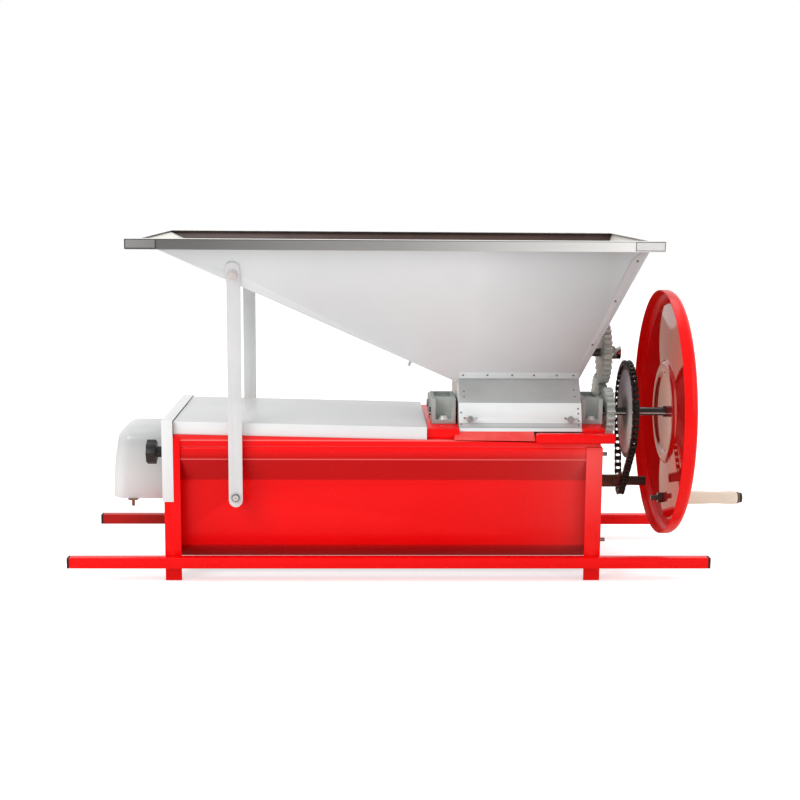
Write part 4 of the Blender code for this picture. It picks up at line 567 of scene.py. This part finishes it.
def softened(node, width, angle=40.0, segments=2):
    """A copy of a CAD solid with its sharp edges rounded."""
    piece = bpy.data.objects.new(node, frame["nodes"][node].data.copy())
    bpy.context.scene.collection.objects.link(piece)
    only(piece)
    bpy.ops.object.mode_set(mode="EDIT")
    bpy.ops.mesh.select_all(action="SELECT")
    bpy.ops.mesh.remove_doubles(threshold=0.00001)
    bpy.ops.mesh.dissolve_limited(angle_limit=math.radians(0.3))
    bpy.ops.object.mode_set(mode="OBJECT")
    round_off = piece.modifiers.new("round_off", "BEVEL")
    round_off.width, round_off.segments = width, segments
    round_off.limit_method, round_off.angle_limit = "ANGLE", math.radians(angle)
    bpy.ops.object.modifier_apply(modifier="round_off")
    bpy.ops.object.shade_smooth_by_angle(angle=math.radians(35.0))
    return finished(piece, node + "_dressed", body_of(node), finish_for(node), node)


def second_finish(piece, used, chosen):
    """Give the faces that a rule picks a finish of their own."""
    piece.data.materials.append(used)
    picked = [part for part in piece.data.polygons if chosen(part)]
    for part in picked:
        part.material_index = len(piece.data.materials) - 1
    print(piece.name, "has", len(picked), "faces in", used.name)


print("modelling helpers ready")


# %% Outlines and turned pieces
def outline(points, closed=False):
    """A line of edges, drawn by extruding one vertex from place to place."""
    bpy.ops.object.select_all(action="DESELECT")
    bpy.ops.mesh.primitive_plane_add(size=0.001, location=points[0])
    piece = bpy.context.active_object
    bpy.ops.object.transform_apply(location=True)
    bpy.ops.object.mode_set(mode="EDIT")
    bpy.ops.mesh.select_all(action="SELECT")
    bpy.ops.mesh.merge(type="CENTER")
    for before, after in zip(points, points[1:]):
        step = Vector(after) - Vector(before)
        bpy.ops.mesh.extrude_region_move(TRANSFORM_OT_translate={"value": step})
    if closed:
        bpy.ops.object.mode_set(mode="OBJECT")
        piece.data.vertices[0].select = True
        bpy.ops.object.mode_set(mode="EDIT")
        bpy.ops.mesh.edge_face_add()
    return piece


def turned(points, centre, axis, steps, closed=False):
    """An outline spun once round an axis, merged and turned outwards."""
    piece = outline(points, closed)
    bpy.ops.mesh.select_all(action="SELECT")
    bpy.ops.mesh.spin(steps=steps, angle=math.tau, center=centre, axis=axis)
    bpy.ops.mesh.select_all(action="SELECT")
    bpy.ops.mesh.remove_doubles(threshold=0.000005)
    bpy.ops.mesh.normals_make_consistent(inside=False)
    bpy.ops.object.mode_set(mode="OBJECT")
    only(piece)
    bpy.ops.object.shade_smooth_by_angle(angle=math.radians(30.0))
    return piece


def along_x(profile, y, z):
    """Points above an axis that runs along x, from (x, radius) pairs of the drawing."""
    return [at(x, y, z + radius) for x, radius in profile]


print("outline and lathe ready")

# %% [markdown]
# ## Folded and welded steel
# Legs, bars, side panels, rails, lid, flange and straps have the right shape in the CAD already. On the real
# machine their edges are folds or cut edges under thick paint, so a copy with rounded edges replaces each.

# %% Rounded copies of the sheet pieces
for node, width in (
        ("carry_bar_front", 0.0012), ("carry_bar_back", 0.0012), ("leg_front_left", 0.0007),
        ("leg_front_right", 0.0007), ("leg_back_left", 0.0007), ("leg_back_right", 0.0007),
        ("side_panel_front", 0.0006), ("side_panel_back", 0.0006), ("deck_plate", 0.0005),
        ("cross_rail_left", 0.0007), ("cross_rail_right", 0.0007), ("ledge_bar", 0.0010), ("top_lid", 0.0004),
        ("stem_hood", 0.0004), ("hood_flange", 0.0004), ("strap_front", 0.0006), ("strap_back", 0.0006),
        ("end_plate_left", 0.0005), ("end_plate_right", 0.0005)):
    made = softened(node, width)
    print(made.name, len(made.data.polygons), "faces")

# %% Steel pins of the guard on the right legs, and painted shade on the feet of the left legs
pin_steel = painted("bright_steel", "guard_pin_steel", (0.30, 0.33, 0.35), (0.20, 0.22, 0.24), 60.0, 900.0,
                    0.25, 0.15, 0.00002, Metallic=0.8)
foot_height = 0.0275
right_legs, left_legs = ("leg_front_right", "leg_back_right"), ("leg_front_left", "leg_back_left")
for node in right_legs:
    leg = bpy.data.objects[node + "_dressed"]
    right_faces = [part for part in leg.data.polygons if part.normal.x > 0.99]
    flange_x = max(right_faces, key=lambda part: part.area).center.x + 0.0004
    second_finish(leg, pin_steel, lambda part: part.center.x > flange_x)
for node in left_legs:
    second_finish(bpy.data.objects[node + "_dressed"], foot_red, lambda part: part.center.z < foot_height)

# %% Rim: a pale flange on top, satin skirts round it
rim_top = painted("satin_steel", "pale_rim_flange", (0.86, 0.85, 0.82), (0.80, 0.79, 0.76), 9.0, 500.0, 0.30,
                  0.12, 0.00002)
second_finish(softened("hopper_rim", 0.0004), rim_top, lambda part: part.normal.z > 0.6)

# %% Rounded copies of castings and small parts
for node, width in (
        ("auger", 0.0003), ("front_roller", 0.0002), ("destemmer_shaft", 0.0003), ("bearing_block_left", 0.0012),
        ("bearing_block_right", 0.0012), ("auger_gear", 0.0005), ("front_gear", 0.0005), ("rear_gear", 0.0005),
        ("bar_plug_front_left", 0.0008), ("bar_plug_front_right", 0.0008), ("bar_plug_back_left", 0.0008),
        ("bar_plug_back_right", 0.0008), ("wheel_nut", 0.0008), ("small_sprocket", 0.0003)):
    made = softened(node, width)
    print(made.name, len(made.data.polygons), "faces")

# %% Bright nut on the auger's end, dark crank shaft, worn collar of the small sprocket with painted shade above and below its middle
nut_start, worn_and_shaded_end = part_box("auger")[1].x - 0.0245, 0.366
crusher_low_x, crusher_high_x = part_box("crusher_end_left")[0].x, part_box("crusher_end_right")[1].x
plate_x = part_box("end_plate_right")[1].x
second_finish(bpy.data.objects["auger_dressed"], chrome, lambda part: part.center.x > nut_start)
second_finish(bpy.data.objects["front_roller_dressed"], shaft_steel,
              lambda part: not crusher_low_x < part.center.x < crusher_high_x)
second_finish(bpy.data.objects["small_sprocket_dressed"], worn_and_shaded_collar,
              lambda part: plate_x < part.center.x < worn_and_shaded_end)

# %% Painted shade on the lid's top, and the hood's flange drawn up to the lid
second_finish(bpy.data.objects["top_lid_dressed"], lid_top, lambda part: part.normal.z > 0.85)
edge_x, lid_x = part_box("hood_flange")[1].x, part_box("top_lid")[0].x
play, edge_depth = 0.00005, 0.001
for vertex in bpy.data.objects["hood_flange_dressed"].data.vertices:
    if vertex.co.x > edge_x - edge_depth:
        vertex.co.x += max(0.0, lid_x - edge_x - play)
print("gap between flange and lid was", round((lid_x - edge_x) * 1000, 2), "mm")

# %% [markdown]
# ## Hopper and crusher box
# The four hopper walls are light outside. Inside, the long walls are brown maroon and the short ones cream.
# A wall is therefore a rounded copy with two finishes, chosen by the way each face looks. The crusher box
# is one sheet with a crease, and painted shade makes its sloping shoulder darker than its bright steep front.

# %% Finishes of the inside and of the shoulder
brown_lining = painted("hopper_grey", "stained_inner_sheet", (0.115, 0.068, 0.056), (0.075, 0.045, 0.040), 9.0,
                  500.0, 0.36, 0.15, 0.00003)
cream_wall = painted("hopper_grey", "cream_inner_sheet", (0.88, 0.86, 0.80), (0.82, 0.80, 0.74), 9.0, 500.0,
                     0.36, 0.15, 0.00003)
# Painted shade: a darker copy of the crusher sheet for its sloping shoulder.
shoulder = painted("hopper_grey", "crusher_shoulder_sheet", (0.46, 0.47, 0.465), (0.38, 0.385, 0.38), 9.0,
                   400.0, 0.30, 0.10, 0.00003, Metallic=0.3)
print("inner finishes ready")

# %% Hopper walls
for node, inward, lining in (
        ("hopper_front", (0.0, 1.0, 0.3), brown_lining), ("hopper_back", (0.0, -1.0, 0.3), brown_lining),
        ("hopper_left", (1.0, 0.0, 1.0), cream_wall), ("hopper_right", (-1.0, 0.0, 0.3), cream_wall)):
    looks = Vector(inward).normalized()
    second_finish(softened(node, 0.0003), lining, lambda part: part.normal.dot(looks) > 0.75)

# %% Crusher covers and end sheets
crease_z = 0.326
for node in ("crusher_cover_front", "crusher_cover_back", "crusher_end_left", "crusher_end_right"):
    second_finish(softened(node, 0.0004), shoulder,
                  lambda part: 0.55 < abs(part.normal.z) < 0.80 and part.center.z > crease_z)

# %% [markdown]
# ## Seams, strips and rivets of the hopper
# The front wall's right edge is folded over into a long tapering seam, held by three rivets, and a strip with
# six rivets joins its foot to the crusher box. Both are thin sheets that lie on the wall, so each starts as one
# flat face, has its corners moved to their places in the wall's plane and gets its thickness by Solidify. Every
# rivet is the same low dome, turned about an axis that stands on its sheet.


# %% Helpers on a sloping wall
wall_low, wall_high = Vector((0.0, -0.0765, 0.3675)), Vector((0.0, -0.2115, 0.6298))
slope_up = (wall_high - wall_low).normalized()
wall_out = Vector((1.0, 0.0, 0.0)).cross(slope_up).normalized()


def on_wall(x, z, out=0.0):
    """A point of the front wall's outer face at a place along it and a height."""
    share = (z - wall_low.z) / (wall_high.z - wall_low.z)
    point = wall_low.lerp(wall_high, share)
    return at(x, point.y, point.z) + wall_out * out


def sheet_on(corners, thickness, away):
    """A thin sheet from its corner points, thickened away from what it lies on."""
    bpy.ops.object.select_all(action="DESELECT")
    bpy.ops.mesh.primitive_circle_add(vertices=len(corners), radius=0.01, fill_type="NGON")
    piece = bpy.context.active_object
    for vertex, corner in zip(piece.data.vertices, corners):
        vertex.co = corner
    piece.data.update()
    if piece.data.polygons[0].normal.dot(away) < 0.0:
        bpy.ops.object.mode_set(mode="EDIT")
        bpy.ops.mesh.select_all(action="SELECT")
        bpy.ops.mesh.flip_normals()
        bpy.ops.object.mode_set(mode="OBJECT")
    thick = piece.modifiers.new("thick", "SOLIDIFY")
    thick.thickness, thick.offset = thickness, 1.0
    bpy.ops.object.modifier_apply(modifier="thick")
    edge = piece.modifiers.new("edge", "BEVEL")
    edge.width, edge.segments = thickness * 0.35, 2
    bpy.ops.object.modifier_apply(modifier="edge")
    return piece


print("front wall looks out along", [round(v, 3) for v in wall_out])

# %% Seam and foot strip
seam_sheet = painted("hopper_grey", "seam_sheet_paint", (0.54, 0.55, 0.56), (0.48, 0.49, 0.50), 6.0, 300.0,
                     0.32, 0.10, 0.00002, Metallic=0.2)
seam_thickness, strip_thickness = 0.0009, 0.0011
seam = sheet_on([on_wall(x, z) for x, z in ((0.3480, 0.3860), (0.3680, 0.4382), (0.4252, 0.598), (0.4395, 0.6105),
                                            (0.4555, 0.6275), (0.3535, 0.386))], seam_thickness, wall_out)
finished(seam, "front_seam", "machine_body", seam_sheet)
strip = sheet_on([on_wall(x, z) for x, z in ((0.1285, 0.3690), (0.3535, 0.3690), (0.3530, 0.3800), (0.1290, 0.3800))],
                 strip_thickness, wall_out)
finished(strip, "foot_strip", "machine_body", hopper_paint)
print(seam.name, strip.name, len(seam.data.vertices), "corners in the seam")


# %% Rivets
def rivet(name, place, out, radius, used):
    """A low dome whose axis stands on a sheet: an outline spun about that axis."""
    out = Vector(out).normalized()
    side = out.orthogonal().normalized()
    rise = ((1.0, -0.15), (1.0, 0.05), (0.86, 0.32), (0.52, 0.52), (0.0, 0.60))
    points = [Vector(place) + side * radius * wide + out * radius * high for wide, high in rise]
    made = turned([Vector(place) - out * radius * 0.15] + points, place, out, 12)
    return finished(made, name, "machine_body", used)


dull_rivet = painted("satin_steel", "dull_rivet_steel", (0.22, 0.22, 0.22), (0.15, 0.15, 0.15), 90.0, 900.0,
                     0.35, 0.2, 0.00002, Metallic=0.7)
for i, (x, z) in enumerate(((0.4354, 0.5961), (0.4050, 0.5216), (0.3726, 0.4370))):
    rivet("seam_rivet_%d" % (i + 1), on_wall(x, z, seam_thickness), wall_out, 0.0022, dull_rivet)
for i, x in enumerate((0.1358, 0.1819, 0.2281, 0.2693, 0.3122, 0.3435)):
    rivet("foot_rivet_%d" % (i + 1), on_wall(x, 0.3755, strip_thickness), wall_out, 0.0020, dull_rivet)
front_low, front_crease, front_top = (Vector((0.0, -y, z)) for y, z in ((0.1287, 0.2828), (0.1125, 0.3272),
                                                                        (0.0765, 0.3672)))
steep_spots = ((0.3485, 0.3172), (0.3485, 0.3085), (0.3488, 0.2959), (0.3488, 0.2880), (0.1305, 0.3100),
               (0.1305, 0.2896))
shoulder_spots = ((0.3431, 0.3491), (0.3437, 0.3379), (0.1366, 0.3463), (0.1366, 0.3373))
count = 0
for low, high, spots in ((front_low, front_crease, steep_spots), (front_crease, front_top, shoulder_spots)):
    out = Vector((1.0, 0.0, 0.0)).cross((high - low).normalized()).normalized()
    for x, z in spots:
        point = low.lerp(high, (z - low.z) / (high.z - low.z))
        count += 1
        rivet("crusher_rivet_%d" % count, at(x, point.y, point.z), out, 0.0017, dull_rivet)
print("crusher rivets:", count)

# %% [markdown]
# ## Corner caps, skirt and bolts
# Short channel caps clip over the rim's two front corners. Below the crusher's lip a red sheet slopes out to
# the body's edge, so that juice runs back into the machine. In each bearing block's pocket sits a bright bolt.

# %% Corner caps
# Painted reflection: the caps darken towards the left, and a slightly larger dark sheet behind each cap is painted
# shade along its edges.
cap_steel = rolled("satin_steel", "corner_cap_steel", (0.95, 0.95, 0.94), (0.62, 0.62, 0.61),
                   (70.0, 40.0, 300.0), 0.24, 0.12, Metallic=0.2)
toned(cap_steel, "X", -0.47, 0.48, ((-0.47, 0.62), (-0.38, 0.75), (0.40, 0.0), (0.48, 0.0)),
      (0.02, 0.021, 0.02), step_x)
cap_edge = painted("dark_steel", "corner_cap_edge", (0.05, 0.05, 0.048), (0.035, 0.035, 0.034), 40.0, 500.0,
                   0.4, 0.1, Metallic=0.6)
rim_low, rim_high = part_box("hopper_rim")
skirt_low, skirt_high = rim_high.z - 0.0168, rim_high.z - 0.0006
for name, x0, x1 in (("rim_cap_left", rim_low.x + 0.0012, rim_low.x + 0.0545),
                     ("rim_cap_right", rim_high.x - 0.0530, rim_high.x - 0.0012)):
    for part, inset, thickness, used in (("_edge", 0.0, 0.0004, cap_edge), ("", 0.0011, 0.0010, cap_steel)):
        place = [Vector((x, rim_low.y - 0.0001, z)) for x, z in (
            (x0 + inset, skirt_low + inset), (x1 - inset, skirt_low + inset), (x1 - inset, skirt_high - inset),
            (x0 + inset, skirt_high - inset))]
        finished(sheet_on(place, thickness, Vector((0.0, -1.0, 0.0))), name + part, "machine_body", used)
print("rim skirt", round(skirt_low, 4), "to", round(rim_high.z, 4))

# %% Red skirt under the crusher's lip
skirt_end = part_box("ledge_bar")[0].x - step_x - 0.0008
skirt = sheet_on([at(0.1190, -0.1335, 0.2770), at(skirt_end, -0.1335, 0.2770), at(skirt_end, -0.1562, 0.2630),
                  at(0.1160, -0.1562, 0.2645)], 0.0010, Vector((0.0, -1.0, 1.0)))
finished(skirt, "crusher_skirt", "machine_body", skirt_red)
print(skirt.name, [round(v, 4) for v in skirt.data.vertices[0].co])

# %% Bright bolts in the pockets
glint_steel = painted("bright_steel", "glinting_bolt_steel", (0.93, 0.93, 0.92), (0.84, 0.84, 0.84), 60.0,
                      900.0, 0.22, 0.1, Metallic=0.4)
bolt_inset, bolt_radius = 0.012, 0.0098
for node in ("bearing_block_left", "bearing_block_right"):
    low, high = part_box(node)
    bolts = [Vector(((low.x + high.x) / 2, y)) for y in (low.y + bolt_inset, high.y - bolt_inset)]
    second_finish(bpy.data.objects[node + "_dressed"], glint_steel,
                  lambda part: min((part.center.xy - bolt).length for bolt in bolts) < bolt_radius
                  and low.z + 0.0080 < part.center.z < high.z - 0.006)

# %% [markdown]
# ## Flywheel
# The wheel is a pressed dish with an embossed ring and a rounded rim whose edge is rolled. Spinning its
# section in 144 steps keeps the rim smooth where the solid shows flats. The red is thick gloss enamel.

# %% Flywheel section
def offset_line(path, distance):
    """The same line moved to its side by a distance, for the inner skin of a pressed sheet."""
    moved = []
    for i, (x, r) in enumerate(path):
        before, after = path[max(i - 1, 0)], path[min(i + 1, len(path) - 1)]
        along = Vector((after[0] - before[0], after[1] - before[1])).normalized()
        moved.append((x + along.y * distance, r - along.x * distance))
    return moved


embossed = [(0.5300, 0.0083), (0.5300, 0.0725), (0.5294, 0.0748), (0.5276, 0.0765), (0.5254, 0.0785),
            (0.5243, 0.0815), (0.5240, 0.0865), (0.5243, 0.0915), (0.5254, 0.0945), (0.5276, 0.0965),
            (0.5294, 0.0982), (0.5300, 0.1005)]
dished = [(0.5300, 0.2030), (0.5304, 0.2058), (0.5325, 0.2085), (0.5360, 0.2110), (0.5380, 0.2135),
          (0.5385, 0.2165)]
rim_x, rim_radius, corner = 0.5385, 0.2328, 0.0140
rounded = [(rim_x - corner + corner * math.cos(math.radians(10.0 * i)),
            rim_radius - corner + corner * math.sin(math.radians(10.0 * i))) for i in range(1, 10)]
rolled_edge = [(0.5180, rim_radius), (0.5140, rim_radius), (0.5128, 0.2323), (0.5124, 0.2312)]
face = embossed + dished + rounded + rolled_edge
back = offset_line(face, -0.0020)
wheel_axis, web_radius = at(0.0, crank_y, crank_z), 0.208
wheel = turned(along_x(face + back[:-3][::-1], crank_y, crank_z), wheel_axis, (1.0, 0.0, 0.0), 144, closed=True)
finished(wheel, "flywheel_dressed", "crank", wheel_red, "flywheel")
# The web inside the rim takes the darker, warm-reflecting copy of the enamel, as painted shade and painted reflection.
second_finish(wheel, web_red, lambda part: (part.center.yz - wheel_axis.yz).length < web_radius)
print(wheel.name, len(wheel.data.polygons), "faces")

# %% [markdown]
# ## Grip
# The grip is turned from pale wood: it swells at both ends, narrows in between and is darkened at its end by painted
# shade.
# The outline is spun about the grip's own axis, which is level with the lowest point of the crank's circle.

# %% Grip
grip_z, painted_shade_from = crank_z - 0.1689, 0.6735
grip_line = [(0.5368, 0.0056), (0.5368, 0.0096), (0.5375, 0.0104), (0.5420, 0.0118), (0.5520, 0.0127),
             (0.5660, 0.0129), (0.5850, 0.0128), (0.6050, 0.0124), (0.6230, 0.0118), (0.6350, 0.0117),
             (0.6480, 0.0122), (0.6580, 0.0127), (0.6660, 0.0127), (0.6720, 0.0122), (0.6760, 0.0112),
             (0.6776, 0.0100), (0.6778, 0.0056)]
grip = turned(along_x(grip_line, crank_y, grip_z), at(0.0, crank_y, grip_z), (1.0, 0.0, 0.0), 40, closed=True)
finished(grip, "crank_grip_dressed", "grip", wood, "crank_grip")
second_finish(grip, dark_end, lambda part: part.center.x - step_x > painted_shade_from)

# %% [markdown]
# ## Roller chain
# The solid is one ring of stepped plates. The real chain has waisted side plates in pairs, rollers between them
# and pin heads outside, and white light shows through between the links. One inner and one outer link are
# modelled lying along y, each with its roller and pins, and copied to the 55 places round both sprockets.

# %% Where the chain's pins are
def pin_places(count=55, pitch=0.0127, big_teeth=46, small_teeth=11, small_z=0.15595):
    """Pin places round the two sprockets, as (y, z) of the drawing."""
    big, small = (pitch / (2 * math.sin(math.pi / teeth)) for teeth in (big_teeth, small_teeth))
    centre_big, centre_small = Vector((crank_y, crank_z)), Vector((0.0, small_z))
    between = centre_small - centre_big
    toward = math.atan2(between.y, between.x)
    lean_angle = math.acos((big - small) / between.length)
    run = math.sqrt(between.length ** 2 - (big - small) ** 2)
    parts = (("arc", centre_big, big, toward + lean_angle, big * (math.tau - 2 * lean_angle)),
             ("run", centre_big, big, toward - lean_angle, run),
             ("arc", centre_small, small, toward - lean_angle, small * 2 * lean_angle),
             ("run", centre_small, small, toward + lean_angle, run))
    total = sum(part[4] for part in parts)
    places = []
    for k in range(count):
        along = total * k / count
        for kind, centre, radius, start, length in parts:
            if along < length:
                break
            along -= length
        angle = start + (along / radius if kind == "arc" else 0.0)
        place = centre + Vector((math.cos(angle), math.sin(angle))) * radius
        if kind == "run":
            place += Vector((-math.sin(angle), math.cos(angle))) * along
        places.append(place)
    return places


pins = pin_places()
chain_x, pitch = 0.4532, (pins[1] - pins[0]).length
print(len(pins), "pins, first step", round(pitch * 1000, 2), "mm")

# %% One inner and one outer link
def side_plate(x):
    """A waisted side plate that lies along y, starting at a distance beside the chain's middle."""
    end_radius, waist = 0.0055, 0.0038
    corners = []
    for middle, way in ((0.0, -1.0), (pitch, 1.0)):
        for step in range(7):
            angle = math.radians(-78.0 + 26.0 * step)
            corners.append(Vector((x, middle + way * end_radius * math.cos(angle),
                                   way * end_radius * math.sin(angle))))
        corners.append(Vector((x, pitch / 2, way * waist)))
    return sheet_on(corners, 0.0014, Vector((math.copysign(1.0, x), 0.0, 0.0)))


def round_bar(x_half, radius, sides):
    """A short bar across the chain with rounded ends."""
    profile = [Vector((-x_half, 0.0, 0.0)), Vector((-x_half, 0.0, radius * 0.8)),
               Vector((-x_half * 0.94, 0.0, radius)), Vector((x_half * 0.94, 0.0, radius)),
               Vector((x_half, 0.0, radius * 0.8)), Vector((x_half, 0.0, 0.0))]
    return turned(profile, (0.0, 0.0, 0.0), (1.0, 0.0, 0.0), sides)


links = {}
for kind, near in (("outer", 0.0048), ("inner", 0.0032)):
    parts = [side_plate(near), side_plate(-near), round_bar(0.0031, 0.0042, 12)]
    if kind == "outer":
        for way in (0.0, pitch):
            head = round_bar(0.0067, 0.0019, 8)
            head.location.y = way
            parts.append(head)
    only(*parts)
    bpy.ops.object.join()
    links[kind] = bpy.context.active_object
    links[kind].name = kind + "_link"
    print(kind, "link", len(links[kind].data.polygons), "faces")

# %% Chain of copies
placed = []
for k, pin in enumerate(pins):
    following = pins[(k + 1) % len(pins)]
    only(links["inner" if k % 2 else "outer"])
    bpy.ops.object.duplicate(linked=False)
    link = bpy.context.active_object
    direction_angle = math.atan2(following.y - pin.y, following.x - pin.x)
    link.matrix_world = Matrix.Translation(at(chain_x, pin.x, pin.y)) @ Matrix.Rotation(direction_angle, 4, "X")
    placed.append(link)
for spare in links.values():
    bpy.data.objects.remove(spare)
only(*placed)
bpy.ops.object.join()
chain = bpy.context.active_object
bpy.ops.object.shade_smooth_by_angle(angle=math.radians(30.0))
finished(chain, "drive_chain_links", body_of("drive_chain"), chain_steel, "drive_chain")
print(chain.name, len(chain.data.polygons), "faces")

# %% [markdown]
# ## Knobs, wing nuts and bolts
# These small parts sparkle in the photograph because their edges are round. Copies with wide rounded edges, in
# three steps each, do that for them.

# %% Rounded knobs, wing nuts, bolts and spindle
for node, width, corners in (
        ("hood_knob_front", 0.0014, 50.0), ("hood_knob_back", 0.0014, 50.0), ("wing_nut_front_left", 0.0008, 30.0),
        ("wing_nut_front_right", 0.0008, 30.0), ("wing_nut_back_left", 0.0008, 30.0),
        ("wing_nut_back_right", 0.0008, 30.0), ("strap_bolt_front", 0.0005, 30.0), ("strap_bolt_back", 0.0005, 30.0),
        ("strap_standoff_front", 0.0005, 30.0), ("strap_standoff_back", 0.0005, 30.0),
        ("crank_spindle", 0.0005, 40.0)):
    made = softened(node, width, corners, 3)
    print(made.name, len(made.data.polygons), "faces")
